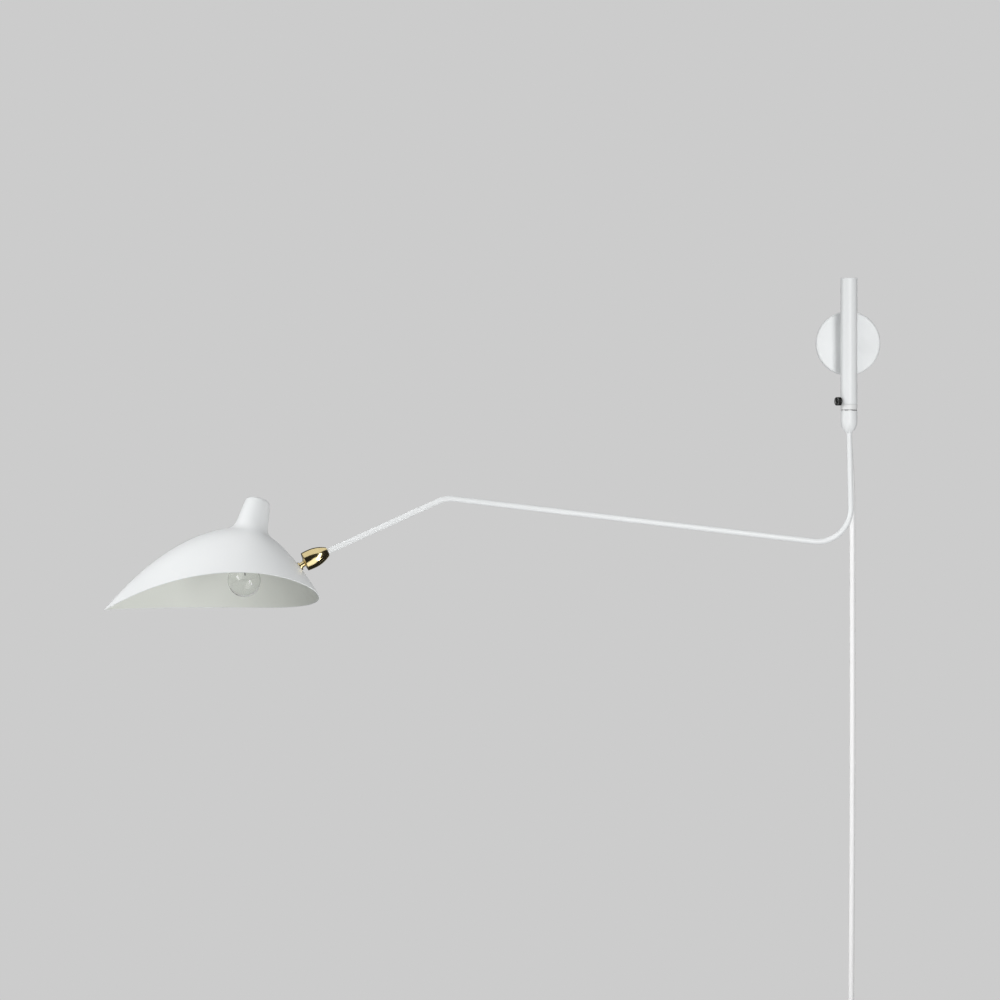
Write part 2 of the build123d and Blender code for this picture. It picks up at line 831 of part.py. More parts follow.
with BuildPart() as chimney_room:
    with BuildSketch(turning_plane(chimney_base)):
        with BuildLine():
            Polyline(
                (0, flare_foot),
                (chimney_foot_radius - shade_sheet, flare_foot),
                (chimney_foot_radius - shade_sheet, chimney_foot),
                (chimney_side_radius - shade_sheet, chimney_shoulder),
                (flat_radius, chimney_height - shade_sheet),
                (0, chimney_height - shade_sheet),
                close=True,
            )
        make_face()
    revolve(axis=turning_axis(chimney_base))
    with BuildSketch(crown_base.offset(boss_foot)):
        Circle(boss_radius)
    extrude(amount=chimney_height, mode=Mode.SUBTRACT)

with BuildPart() as chimney:
    with BuildSketch(turning_plane(chimney_base)):
        with BuildLine():
            Line((0, chimney_height), (flat_radius, chimney_height))
            CenterArc((flat_radius, chimney_shoulder), chimney_edge, 0, 90)
            side = Line((chimney_side_radius, chimney_shoulder), (chimney_foot_radius, chimney_foot))
            TangentArc((chimney_foot_radius, chimney_foot), (flare_radius, flare_foot), tangent=side % 1)
            Polyline((flare_radius, flare_foot), (0, flare_foot), (0, chimney_height))
        make_face()
    revolve(axis=turning_axis(chimney_base))
    add(chimney_room.part, mode=Mode.SUBTRACT)
    with BuildSketch(crown_base.offset(boss_foot)):
        Circle(nipple_radius)
    extrude(amount=nipple_top - boss_foot, mode=Mode.SUBTRACT)
    add(crown_form(0), mode=Mode.SUBTRACT)
save(chimney, "chimney")

# Ring that clamps the crown from below
with BuildPart() as crown_ring:
    with BuildSketch(crown_base.offset(-crown_ring_drop)):
        Circle(crown_ring_radius)
        Circle(holder_radius, mode=Mode.SUBTRACT)
    extrude(amount=2 * crown_ring_drop)
    add(crown_form(shade_sheet + body_gap / 2), mode=Mode.INTERSECT)
save(crown_ring, "crown_ring")

# Lampholder on its nipple
shell_bore = bulb_cap_radius + body_gap
shell_radius = shell_bore + holder_shell_wall
lead_port = Plane(
    origin=crown_base.origin - lamp_base.z_dir * shade_lead_drop,
    x_dir=lamp_base.z_dir,
    z_dir=lamp_base.x_dir,
)
with BuildPart() as holder_body:
    with BuildSketch(lamp_base.offset(holder_mouth)):
        Circle(holder_radius)
    extrude(amount=crown_rise + holder_back - holder_mouth)
    with BuildSketch(lamp_base.offset(holder_mouth)):
        Circle(shell_radius)
    extrude(amount=holder_floor - holder_mouth, mode=Mode.SUBTRACT)
    with BuildSketch(crown_base.offset(nipple_foot)):
        Circle(nipple_radius)
    extrude(amount=holder_back - nipple_foot, mode=Mode.SUBTRACT)
    with BuildSketch(lead_port.offset(holder_radius)):
        Circle(shade_lead_radius)
    extrude(amount=-(holder_radius - shell_radius) / 2, mode=Mode.SUBTRACT)
save(holder_body, "holder_body")

with BuildPart() as holder_shell:
    with BuildSketch(lamp_base.offset(holder_mouth)):
        Circle(shell_radius)
        Circle(shell_bore, mode=Mode.SUBTRACT)
    extrude(amount=bulb_cap_top - holder_mouth)
save(holder_shell, "holder_shell")

with BuildPart() as holder_contact:
    with BuildSketch(lamp_base.offset(bulb_tip + body_gap)):
        Rectangle(2 * shell_bore - 2 * bulb_tip_radius, 2 * bulb_tip_radius)
    extrude(amount=holder_floor - bulb_tip - body_gap)
save(holder_contact, "holder_contact")

with BuildPart() as holder_nipple:
    with BuildSketch(crown_base.offset(nipple_foot)):
        Circle(nipple_radius)
        Circle(nipple_bore, mode=Mode.SUBTRACT)
    extrude(amount=nipple_top - nipple_foot)
save(holder_nipple, "holder_nipple")

# Lead inside the shade, from the stud to the side of the lampholder, in the middle plane
stud_end_point = shade_middle.to_local_coords(stud_base.origin + stud_base.z_dir * (stud_end + body_gap))
port_depth = holder_radius - (holder_radius - shell_radius) / 2
port_point = shade_middle.to_local_coords(lead_port.origin + lead_port.z_dir * port_depth)
stud_run = Vector(-cos(seat_angle), -sin(seat_angle)) * shade_lead_stud_run
stud_corner = stud_end_point + stud_run
port_corner = port_point + Vector(cos(lean), -sin(lean)) * shade_lead_port_run
shade_lead_points = [(p.X, p.Y) for p in (stud_end_point, stud_corner, port_corner, port_point)]
with BuildPart() as shade_lead:
    with BuildLine(shade_middle) as shade_lead_line:
        FilletPolyline(*shade_lead_points, radius=shade_lead_bend)
    with BuildSketch(stud_base.offset(stud_end + body_gap)):
        Circle(shade_lead_radius)
    sweep(path=shade_lead_line.wire())
save(shade_lead, "shade_lead")

# Bulb: glass, cap, contact and the stem with its filament
neck_angle = radians(bulb_shoulder_angle)
glass_inner = bulb_radius - bulb_glass_wall
with BuildPart() as bulb_glass:
    with BuildSketch(turning_plane(lamp_base)):
        with BuildLine():
            shoulder = (bulb_radius * cos(neck_angle), bulb_radius * sin(neck_angle))
            inner_shoulder = (glass_inner * cos(neck_angle), glass_inner * sin(neck_angle))
            inner_neck = bulb_neck_radius - bulb_glass_wall
            CenterArc((0, 0), bulb_radius, -90, 90 + degrees(neck_angle))
            TangentArc(
                shoulder, (bulb_neck_radius, bulb_cap_foot), tangent=(-sin(neck_angle), cos(neck_angle))
            )
            neck_top = bulb_cap_foot + bulb_neck_radius
            Polyline(
                (bulb_neck_radius, bulb_cap_foot),
                (bulb_neck_radius, neck_top),
                (inner_neck, neck_top),
                (inner_neck, bulb_cap_foot),
            )
            TangentArc(
                inner_shoulder, (inner_neck, bulb_cap_foot), tangent=(-sin(neck_angle), cos(neck_angle))
            )
            CenterArc((0, 0), glass_inner, -90, 90 + degrees(neck_angle))
            Line((0, -bulb_radius), (0, -glass_inner))
        make_face()
    revolve(axis=turning_axis(lamp_base))
save(bulb_glass, "bulb_glass")

with BuildPart() as bulb_cap:
    with BuildSketch(lamp_base.offset(bulb_cap_foot)):
        Circle(bulb_cap_radius)
        Circle(bulb_neck_radius, mode=Mode.SUBTRACT)
    extrude(amount=bulb_cap_top - bulb_cap_foot)
save(bulb_cap, "bulb_cap")

tip_foot = bulb_tip - bulb_tip_radius / 2
with BuildPart() as bulb_contact:
    with BuildSketch(turning_plane(lamp_base)):
        with BuildLine():
            Polyline(
                (0, bulb_cap_top),
                (bulb_cap_radius, bulb_cap_top),
                (bulb_tip_radius, tip_foot),
                (bulb_tip_radius, bulb_tip),
                (0, bulb_tip),
                close=True,
            )
        make_face()
    revolve(axis=turning_axis(lamp_base))
save(bulb_contact, "bulb_contact")

with BuildPart() as filament:
    wire_middle = lamp_base.origin + lamp_base.z_dir * filament_height
    with BuildSketch(lamp_base.offset(stem_tip)):
        Circle(stem_radius)
    extrude(amount=bulb_cap_top - stem_tip)
    for side in (-1, 1):
        with BuildLine() as support:
            foot = lamp_base.origin + lamp_base.z_dir * (stem_tip + stem_radius)
            Line(foot, wire_middle + lamp_base.y_dir * side * filament_half_width)
        with BuildSketch(Plane(origin=support.wire() @ 0, z_dir=support.wire() % 0)):
            Circle(filament_radius)
        sweep(path=support.wire())
    with BuildSketch(Plane(origin=wire_middle, z_dir=lamp_base.y_dir)):
        Circle(2 * filament_radius)
    extrude(amount=filament_half_width, both=True)
    with BuildSketch(lamp_base.offset(bulb_cap_foot + bulb_neck_radius)):
        Circle(bulb_neck_radius)
    extrude(amount=bulb_cap_top - bulb_cap_foot - bulb_neck_radius)
save(filament, "filament")

# Cord entry: gland, its nut and the terminals on the back plate
gland_base = Plane((0, -cord_depth, 0))
gland_seat = -canopy_radius - body_gap / 2
gland_foot = gland_seat - gland_length
nut_seat = -sqrt((canopy_radius - canopy_sheet) ** 2 - gland_nut_radius**2) + body_gap
gland_top = nut_seat + gland_nut_height
terminal_foot = terminal_top - terminal_height

with BuildPart() as cord_gland:
    with BuildSketch(turning_plane(gland_base)):
        with BuildLine():
            Polyline(
                (0, gland_top),
                (gland_neck_radius, gland_top),
                (gland_neck_radius, gland_seat),
                (gland_flange_radius, gland_seat),
                (gland_flange_radius, gland_seat - gland_flange_height),
                (gland_top_radius, gland_seat - gland_flange_height),
                (gland_tip_radius, gland_foot),
                (0, gland_foot),
                close=True,
            )
        make_face()
    revolve(axis=turning_axis(gland_base))
save(cord_gland, "cord_gland")

with BuildPart() as gland_nut:
    with BuildSketch(gland_base.offset(nut_seat)):
        Circle(gland_nut_radius)
        Circle(gland_neck_radius, mode=Mode.SUBTRACT)
    extrude(amount=gland_nut_height)
save(gland_nut, "gland_nut")

with BuildPart() as cord_inner:
    with BuildSketch(gland_base.offset(gland_top)):
        Circle(cord_radius)
    extrude(amount=terminal_foot - gland_top)
save(cord_inner, "cord_inner")

terminal_front = Plane.XZ.offset(back_plate_thickness + terminal_depth)
terminal_middle = (terminal_top + terminal_foot) / 2
with BuildPart() as terminal_block:
    with BuildSketch(Plane.XZ.offset(back_plate_thickness)):
        with Locations((0, terminal_middle)):
            Rectangle(terminal_width, terminal_height)
    extrude(amount=terminal_depth)
    with BuildSketch(terminal_front):
        with Locations((0, terminal_middle)):
            with GridLocations(terminal_screw_spacing, 0, 2, 1):
                Circle(terminal_screw_radius)
    extrude(amount=-terminal_screw_depth, mode=Mode.SUBTRACT)
save(terminal_block, "terminal_block")

with BuildPart() as terminal_screws:
    with BuildSketch(terminal_front.offset(-terminal_screw_depth)):
        with Locations((0, terminal_middle)):
            with GridLocations(terminal_screw_spacing, 0, 2, 1):
                Circle(terminal_screw_radius)
    extrude(amount=terminal_screw_length)
save(terminal_screws, "terminal_screws")

# Cord: a straight drop beside the pole's line, then a tied coil below
cord_section = pi * cord_radius**2
coil_entry_y = -cord_depth
coil_outer = coil_mid_radius + coil_pitch * coil_turns_per_layer / 2
coil_turns = coil_turns_per_layer * coil_layers


def coil_point(turn):
    """The coil's middle line after some turns: in on the back layer, out again on the front one."""
    layer_turn = coil_turns_per_layer
    inward = turn if turn <= layer_turn else 2 * layer_turn - turn
    radius = coil_outer - coil_pitch * inward
    climb = min(1.0, max(0.0, (turn - layer_turn) / coil_climb_turns + 0.5))
    depth = coil_entry_y - coil_pitch * (3 - 2 * climb) * climb**2
    angle = -2 * pi * turn
    return Vector(coil_center_x + radius * cos(angle), depth, coil_center_z + radius * sin(angle))


def coil_heading(turn):
    """Unit tangent of the coil's middle line."""
    step = 1e-5
    return (coil_point(turn + step) - coil_point(turn - step)).normalized()


def biarc(start, start_dir, end, end_dir):
    """Two tangent arcs from a point and heading to another, of equal tangent length."""
    chord = end - start
    bend = 1 - start_dir.dot(end_dir)
    pull = chord.dot(start_dir + end_dir)
    reach = (-pull + sqrt(pull**2 + 2 * bend * chord.dot(chord))) / (2 * bend)
    knot = (start + start_dir * reach + end - end_dir * reach) * 0.5
    first = TangentArc(start, knot, tangent=start_dir)
    TangentArc(knot, end, tangent=first % 1)


straight_end = 2 * cord_radius
down = Vector(0, 0, -1)
coil_start = Vector(coil_center_x + coil_outer, coil_entry_y, coil_center_z + straight_end)
coil_steps = coil_turns * coil_stations_per_turn
stations = [step / coil_stations_per_turn for step in range(coil_steps + 1)]
headings = [down] + [coil_heading(turn) for turn in stations[1:-1]] + [down]
with BuildPart() as cord_coil:
    with BuildLine() as coil_line:
        Line(coil_start, coil_point(0))
        for index, turn in enumerate(stations[:-1]):
            after = stations[index + 1]
            biarc(coil_point(turn), headings[index], coil_point(after), headings[index + 1])
        coil_end = coil_point(coil_turns) + down * straight_end
        Line(coil_point(coil_turns), coil_end)
    with BuildSketch(Plane(origin=coil_start, z_dir=down)):
        Circle(cord_radius)
    sweep(path=coil_line.wire())
save(cord_coil, "cord_coil")
coil_path = coil_line.wire()
coil_length = coil_path.length
coil_samples = [coil_path @ (step / coil_sample_count) for step in range(coil_sample_count + 1)]
apart = int(coil_sample_count * 4 * straight_end / coil_length)
least = min(
    (a - b).length for (i, a), (j, b) in combinations(enumerate(coil_samples), 2) if j - i > apart
)
print(f"coil: length {coil_length:.1f}, least gap to itself {least - 2 * cord_radius:.2f}")
print(f"coil: volume {cord_coil.part.volume:.0f}, section by length {cord_section * coil_length:.0f}")

coil_entry = coil_center_z + coil_entry_rise
cord_route = [
    (0, -cord_depth, gland_foot),
    *[(x, -cord_depth, gland_foot + share * (coil_entry - gland_foot)) for x, share in cord_bends],
    (coil_start.X, -cord_depth, coil_entry),
    (coil_start.X, -cord_depth, coil_start.Z),
]
with BuildPart() as cord_drop:
    with BuildLine() as cord_line:
        FilletPolyline(*cord_route, radius=tube_radii(cord_route, 2 * cord_radius, "cord drop"))
    with BuildSketch(Plane(origin=cord_route[0], z_dir=cord_line.wire() % 0)):
        Circle(cord_radius)
    sweep(path=cord_line.wire())
save(cord_drop, "cord_drop")
print(f"cord drop: length {cord_line.wire().length:.1f}, volume {cord_drop.part.volume:.0f}, "
      f"section by length {cord_section * cord_line.wire().length:.0f}")

tail_route = [
    (coil_end.X, coil_end.Y, coil_end.Z),
    (coil_end.X, coil_end.Y, coil_end.Z - tail_drop),
    (coil_end.X - tail_sway, coil_end.Y, coil_end.Z - tail_drop - tail_run),
]
tail_end = Vector(*tail_route[-1])
tail_dir = (tail_end - Vector(*tail_route[-2])).normalized()
with BuildPart() as cord_tail:
    with BuildLine() as tail_line:
        FilletPolyline(*tail_route, radius=tube_radii(tail_route, 2 * cord_radius, "cord tail"))
    with BuildSketch(Plane(origin=tail_route[0], z_dir=down)):
        Circle(cord_radius)
    sweep(path=tail_line.wire())
save(cord_tail, "cord_tail")
total = terminal_foot - gland_foot + cord_line.wire().length
total += coil_length + tail_line.wire().length
print(f"cord: {total:.0f} in all, {total - (terminal_foot - gland_foot):.0f} free")

# Tie round the coil's top, and the plug below
tie_turns = [turn + tie_turn for turn in range(coil_turns)]
tie_points = [coil_point(turn) for turn in tie_turns]
tie_high = max(point.Z for point in tie_points) + cord_radius + tie_slack
tie_low = min(point.Z for point in tie_points) - cord_radius - tie_slack
tie_back = max(point.Y for point in tie_points) + cord_radius + tie_slack
tie_front = min(point.Y for point in tie_points) - cord_radius - tie_slack
tie_plane = Plane(
    origin=(coil_center_x, (tie_back + tie_front) / 2, (tie_high + tie_low) / 2),
    x_dir=(0, 1, 0),
    z_dir=(1, 0, 0),
)
with BuildPart() as coil_tie:
    with BuildSketch(tie_plane):
        RectangleRounded(
            tie_back - tie_front + 2 * tie_sheet, tie_high - tie_low + 2 * tie_sheet, cord_radius
        )
        RectangleRounded(
            tie_back - tie_front, tie_high - tie_low, cord_radius - tie_sheet, mode=Mode.SUBTRACT
        )
    extrude(amount=tie_width / 2, both=True)
save(coil_tie, "coil_tie")

plug_base = Plane(origin=tail_end, x_dir=(0, 1, 0), z_dir=tail_dir)
plug_front = plug_base.offset(plug_boot_length + plug_length)
with BuildPart() as plug_body:
    with BuildSketch(plug_base):
        Circle(plug_boot_tip_radius)
    with BuildSketch(plug_base.offset(plug_boot_length)):
        Circle(plug_boot_radius)
    loft()
    with BuildSketch(plug_base.offset(plug_boot_length)):
        RectangleRounded(plug_neck_thickness, plug_neck_width, plug_corner)
    with BuildSketch(plug_front):
        RectangleRounded(plug_thickness, plug_width, plug_corner)
    loft()
    with BuildSketch(plug_front):
        with GridLocations(0, pin_spacing, 1, 2):
            Circle(pin_root_radius)
    extrude(amount=-pin_sunk, mode=Mode.SUBTRACT)
save(plug_body, "plug_body")

with BuildPart() as plug_pins:
    with BuildSketch(plug_front):
        with GridLocations(0, pin_spacing, 1, 2):
            Circle(pin_radius)
    extrude(amount=pin_length)
    pin_tips = [
        edge
        for edge in plug_pins.edges().filter_by(GeomType.CIRCLE)
        if plug_front.to_local_coords(edge.arc_center).Z > pin_length / 2
    ]
    fillet(pin_tips, pin_tip_round)
    with BuildSketch(plug_front):
        with GridLocations(0, pin_spacing, 1, 2):
            Circle(pin_root_radius)
    extrude(amount=-pin_sunk)
save(plug_pins, "plug_pins")

swivel_tilt = degrees(acos(stud_dir.dot(-arm_back)))
print(f"ball centre {ball_center}, swivel axis {-arm_back}, stud axis {stud_dir}, tilt {swivel_tilt:.2f}")
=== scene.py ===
"""A white plug-in wall lamp with a swinging arm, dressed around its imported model.

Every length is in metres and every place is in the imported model's own frame: the middle of
the canopy's back is the origin, +X runs right along the wall, +Y into it and +Z up. The
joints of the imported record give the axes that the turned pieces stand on.
"""

from __future__ import annotations

import json
import logging
import math
from dataclasses import dataclass, field
from enum import Enum
from typing import Any, Sequence

import bpy
import bmesh
import numpy as np
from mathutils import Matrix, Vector


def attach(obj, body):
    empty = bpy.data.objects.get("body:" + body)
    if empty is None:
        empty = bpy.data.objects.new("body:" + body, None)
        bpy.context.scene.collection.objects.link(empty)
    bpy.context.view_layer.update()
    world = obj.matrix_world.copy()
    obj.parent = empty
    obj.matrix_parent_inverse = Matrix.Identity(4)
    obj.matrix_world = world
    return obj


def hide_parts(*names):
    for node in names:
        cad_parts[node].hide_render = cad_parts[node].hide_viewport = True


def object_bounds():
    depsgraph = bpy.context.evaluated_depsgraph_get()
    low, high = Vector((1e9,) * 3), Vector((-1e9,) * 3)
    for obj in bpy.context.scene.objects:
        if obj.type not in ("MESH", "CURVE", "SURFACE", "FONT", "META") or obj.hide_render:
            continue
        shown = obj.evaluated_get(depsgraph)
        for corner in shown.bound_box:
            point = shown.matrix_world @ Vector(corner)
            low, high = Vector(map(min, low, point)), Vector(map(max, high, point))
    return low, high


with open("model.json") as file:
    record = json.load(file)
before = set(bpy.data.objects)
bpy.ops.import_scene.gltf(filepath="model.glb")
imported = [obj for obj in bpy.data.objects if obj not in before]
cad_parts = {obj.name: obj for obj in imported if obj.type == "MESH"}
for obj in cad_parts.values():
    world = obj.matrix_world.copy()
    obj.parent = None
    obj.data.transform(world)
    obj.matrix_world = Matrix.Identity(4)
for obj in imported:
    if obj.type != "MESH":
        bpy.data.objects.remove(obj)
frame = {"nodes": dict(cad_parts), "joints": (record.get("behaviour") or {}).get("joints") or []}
CAD_LOW, CAD_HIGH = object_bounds()

Array = np.ndarray
Point = tuple[float, float, float]
log = logging.getLogger("wall_lamp")

PAINTED_SHADE_MARK = "inside"
WELD = 1e-7
SHARP_ANGLE = math.radians(38.0)
RIGHT = np.array([1.0, 0.0, 0.0])
INTO_WALL = np.array([0.0, 1.0, 0.0])
UP = np.array([0.0, 0.0, 1.0])


class Body(str, Enum):
    """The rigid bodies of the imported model."""

    WALL_MOUNT = "wall_mount"
    CLAMP = "clamp"
    ARM = "arm"
    SWIVEL = "swivel"
    STUD = "stud"
    SHADE_HEAD = "shade_head"
    BULB = "bulb"


class Slot(str, Enum):
    """The record's material slots."""

    WHITE_PAINT = "white_paint"
    STEEL = "steel"
    POLISHED_STEEL = "polished_steel"
    BRASS = "brass"
    WHITE_PLASTIC = "white_plastic"
    CORD_SHEATH = "cord_sheath"
    CLEAR_GLASS = "clear_glass"
    CAP_METAL = "cap_metal"


# Shader maths


@dataclass(frozen=True)
class Value:
    """A socket that Python's operators work on."""

    nodes: "Nodes"
    socket: bpy.types.NodeSocket

    def __add__(self, other: "Value | float") -> "Value":
        """The sum of two values."""
        return self.nodes.maths("ADD", self, other)

    def __sub__(self, other: "Value | float") -> "Value":
        """The difference of two values."""
        return self.nodes.maths("SUBTRACT", self, other)

    def __rsub__(self, other: float) -> "Value":
        """A number less this value."""
        return self.nodes.maths("SUBTRACT", other, self)

    def __mul__(self, other: "Value | float") -> "Value":
        """The product of two values."""
        return self.nodes.maths("MULTIPLY", self, other)

    __radd__ = __add__
    __rmul__ = __mul__


Input = "Value | float | Sequence[float]"


class Nodes:
    """The node tree of one material or world."""

    def __init__(self, owner: bpy.types.ID, output: str = "ShaderNodeOutputMaterial") -> None:
        """Start an empty tree.

        Args:
            owner: the new material or world.
            output: the type of its last node.
        """
        owner.use_nodes = True
        self.owner = owner
        self.output = output
        self.tree = owner.node_tree
        self.tree.nodes.clear()

    @classmethod
    def of(cls, name: str) -> "Nodes":
        """The empty tree of a new material."""
        return cls(bpy.data.materials.new(name))

    def make(self, kind: str, settings: dict[str, Any] | None = None, **inputs: Any) -> bpy.types.Node:
        """Make a node, set it up and feed its sockets.

        Args:
            kind: the node's type.
            settings: its properties.
            inputs: a value or a link for each socket, by the socket's name with _ for a space
                or by its number as in_0.

        Returns:
            The new node.
        """
        node = self.tree.nodes.new(kind)
        for key, value in (settings or {}).items():
            setattr(node, key, value)
        for key, value in inputs.items():
            numbered = key.startswith("in_")
            socket = node.inputs[int(key[3:]) if numbered else key.replace("_", " ")]
            if isinstance(value, Value):
                self.tree.links.new(value.socket, socket)
            else:
                socket.default_value = value
        return node

    def out(self, node: bpy.types.Node, name: str | int = 0) -> Value:
        """A node's output as a value."""
        return Value(self, node.outputs[name])

    def maths(self, operation: str, first: Input, second: Input) -> Value:
        """Add one Math node."""
        return self.out(self.make("ShaderNodeMath", {"operation": operation}, in_0=first, in_1=second))

    def object_place(self) -> Value:
        """The piece's own coordinates, in metres."""
        return self.out(self.make("ShaderNodeTexCoord"), "Object")

    def surface_place(self) -> Value:
        """The piece's UV map, in metres along the surface."""
        return self.out(self.make("ShaderNodeTexCoord"), "UV")

    def stretched(self, place: Value, scale: Point) -> Value:
        """A place scaled apart along its axes."""
        return self.out(self.make("ShaderNodeMapping", Vector=place, Scale=scale))

    def noise(self, place: Value, scale: float, detail: float) -> Value:
        """Soft noise from 0 to 1, with so many cells to a metre and finer octaves of detail."""
        return self.out(self.make("ShaderNodeTexNoise", Vector=place, Scale=scale, Detail=detail), "Fac")

    def blend(self, share: Value, low: Input, high: Input) -> Value:
        """A colour between two.

        Args:
            share: from 0 for the first to 1 for the second.
            low: the first colour.
            high: the second colour.

        Returns:
            The blended colour.
        """
        first, second = (end if isinstance(end, Value) else (*end, 1.0) for end in (low, high))
        made = self.make("ShaderNodeMix", {"data_type": "RGBA"}, in_0=share, in_6=first, in_7=second)
        return self.out(made, 2)

    def mark(self, name: str) -> Value:
        """A number that the piece's mesh keeps at its points, or nothing where it keeps none."""
        return self.out(self.make("ShaderNodeAttribute", {"attribute_name": name}), "Fac")

    def bump(self, height: Value, depth: float, strength: float) -> Value:
        """A normal bumped by a relief, whose 1 stands for a depth in metres."""
        return self.out(self.make("ShaderNodeBump", Height=height, Distance=depth, Strength=strength))

    def finish(self, shader: bpy.types.Node) -> bpy.types.ID:
        """Join a shader to the surface.

        Args:
            shader: the last shader node.

        Returns:
            The material or world.
        """
        output = self.make(self.output)
        self.tree.links.new(shader.outputs[0], output.inputs["Surface"])
        return self.owner

    def surface(self, **inputs: Any) -> bpy.types.Material:
        """The material, with one principled shader that is fed through its sockets."""
        return self.finish(self.make("ShaderNodeBsdfPrincipled", **inputs))


# Finishes


@dataclass(frozen=True)
class Enamel:
    """Sprayed satin paint: a faint orange peel, an uneven film, and a darker, greener white inside the
    shade that is painted shade.
    """

    name: str = "white_enamel"
    thick: Point = (0.84, 0.855, 0.86)
    thin: Point = (0.81, 0.83, 0.835)
    # painted shade: the colour of the shade's inside, darker and greener than the outside
    inner: Point = (0.80, 0.82, 0.77)
    gloss: float = 0.30
    film_per_metre: float = 14.0
    film_dulling: float = 0.08
    peel_per_metre: float = 620.0
    peel_depth: float = 0.00004
    peel_strength: float = 0.35
    peel_dulling: float = 0.05
    ior: float = 1.48

    def material(self) -> bpy.types.Material:
        """The paint's material.

        Returns:
            The material.
        """
        nodes = Nodes.of(self.name)
        place = nodes.object_place()
        film = nodes.noise(place, self.film_per_metre, detail=3.0)
        peel = nodes.noise(place, self.peel_per_metre, detail=1.0)
        outer = nodes.blend(film, self.thin, self.thick)
        return nodes.surface(
            # the marked inside of the shade gets the painted-shade colour
            Base_Color=nodes.blend(nodes.mark(PAINTED_SHADE_MARK), outer, self.inner),
            Roughness=self.gloss + film * self.film_dulling + peel * self.peel_dulling,
            Normal=nodes.bump(peel, self.peel_depth, self.peel_strength),
            IOR=self.ior,
        )


@dataclass(frozen=True)
class TurnedMetal:
    """Metal from a lathe: fine rings round the axis, and a film that dulls it in patches."""

    name: str
    bright: Point
    dull: Point
    gloss: float
    patch_per_metre: float = 160.0
    patch_dulling: float = 0.10
    rings_per_metre: float = 5200.0
    ring_squeeze: Point = (0.02, 1.0, 1.0)
    ring_depth: float = 0.000004
    ring_strength: float = 0.25
    ring_dulling: float = 0.04

    def material(self) -> bpy.types.Material:
        """The metal's material.

        Returns:
            The material.
        """
        nodes = Nodes.of(self.name)
        patches = nodes.noise(nodes.object_place(), self.patch_per_metre, detail=4.0)
        along = nodes.stretched(nodes.surface_place(), self.ring_squeeze)
        rings = nodes.noise(along, self.rings_per_metre, detail=2.0)
        return nodes.surface(
            Base_Color=nodes.blend(patches, self.dull, self.bright),
            Roughness=self.gloss + (1 - patches) * self.patch_dulling + rings * self.ring_dulling,
            Normal=nodes.bump(rings, self.ring_depth, self.ring_strength),
            Metallic=1.0,
        )


@dataclass(frozen=True)
class PlatedSteel:
    """Zinc-plated sheet or bar: a mottled grey with a soft grain."""

    name: str = "plated_steel"
    pale: Point = (0.62, 0.62, 0.60)
    dark: Point = (0.44, 0.45, 0.46)
    gloss: float = 0.32
    spangle_per_metre: float = 240.0
    grains_per_spangle: float = 9.0
    grain_depth: float = 0.00001
    grain_strength: float = 0.3
    grain_dulling: float = 0.14

    def material(self) -> bpy.types.Material:
        """The plating's material.

        Returns:
            The material.
        """
        nodes = Nodes.of(self.name)
        place = nodes.object_place()
        spangle = nodes.noise(place, self.spangle_per_metre, detail=3.0)
        grain = nodes.noise(place, self.spangle_per_metre * self.grains_per_spangle, detail=1.0)
        return nodes.surface(
            Base_Color=nodes.blend(spangle, self.dark, self.pale),
            Roughness=self.gloss + grain * self.grain_dulling,
            Normal=nodes.bump(grain, self.grain_depth, self.grain_strength),
            Metallic=1.0,
        )


@dataclass(frozen=True)
class Moulding:
    """Moulded plastic, glazed ceramic or cord sheath: a tint that drifts and a skin of fine pits."""

    name: str
    pale: Point
    dark: Point
    gloss: float
    pits_per_metre: float = 1500.0
    pit_depth: float = 0.00003
    pit_strength: float = 0.25
    pit_dulling: float = 0.10
    drift_per_metre: float = 30.0
    ior: float = 1.49

    def material(self) -> bpy.types.Material:
        """The moulding's material.

        Returns:
            The material.
        """
        nodes = Nodes.of(self.name)
        place = nodes.object_place()
        drift = nodes.noise(place, self.drift_per_metre, detail=2.0)
        pits = nodes.noise(place, self.pits_per_metre, detail=2.0)
        return nodes.surface(
            Base_Color=nodes.blend(drift, self.dark, self.pale),
            Roughness=self.gloss + pits * self.pit_dulling,
            Normal=nodes.bump(pits, self.pit_depth, self.pit_strength),
            IOR=self.ior,
        )


@dataclass(frozen=True)
class BlownGlass:
    """Clear bulb glass, with the slow ripple of a blown wall."""

    name: str = "blown_glass"
    tint: Point = (0.985, 0.99, 0.985)
    ripple_per_metre: float = 70.0
    ripple_depth: float = 0.0003
    ripple_strength: float = 0.15
    ior: float = 1.46

    def material(self) -> bpy.types.Material:
        """The glass's material.

        Returns:
            The material.
        """
        nodes = Nodes.of(self.name)
        ripple = nodes.noise(nodes.object_place(), self.ripple_per_metre, detail=1.0)
        return nodes.surface(
            Base_Color=(*self.tint, 1.0),
            Roughness=0.0,
            IOR=self.ior,
            Transmission_Weight=1.0,
            Normal=nodes.bump(ripple, self.ripple_depth, self.ripple_strength),
        )


Finish = Enamel | TurnedMetal | PlatedSteel | Moulding | BlownGlass


@dataclass(frozen=True)
class Coat:
    """A material and the record's slot that it goes with."""

    material: bpy.types.Material
    slot: Slot

    def cover(self, piece: bpy.types.Object) -> None:
        """Make this the piece's only material."""
        piece.data.materials.clear()
        piece.data.materials.append(self.material)


def coat(slot: Slot, finish: Finish) -> Any:
    """A field that makes a finish's material when the finishes are made."""
    return field(default_factory=lambda: Coat(finish.material(), slot))


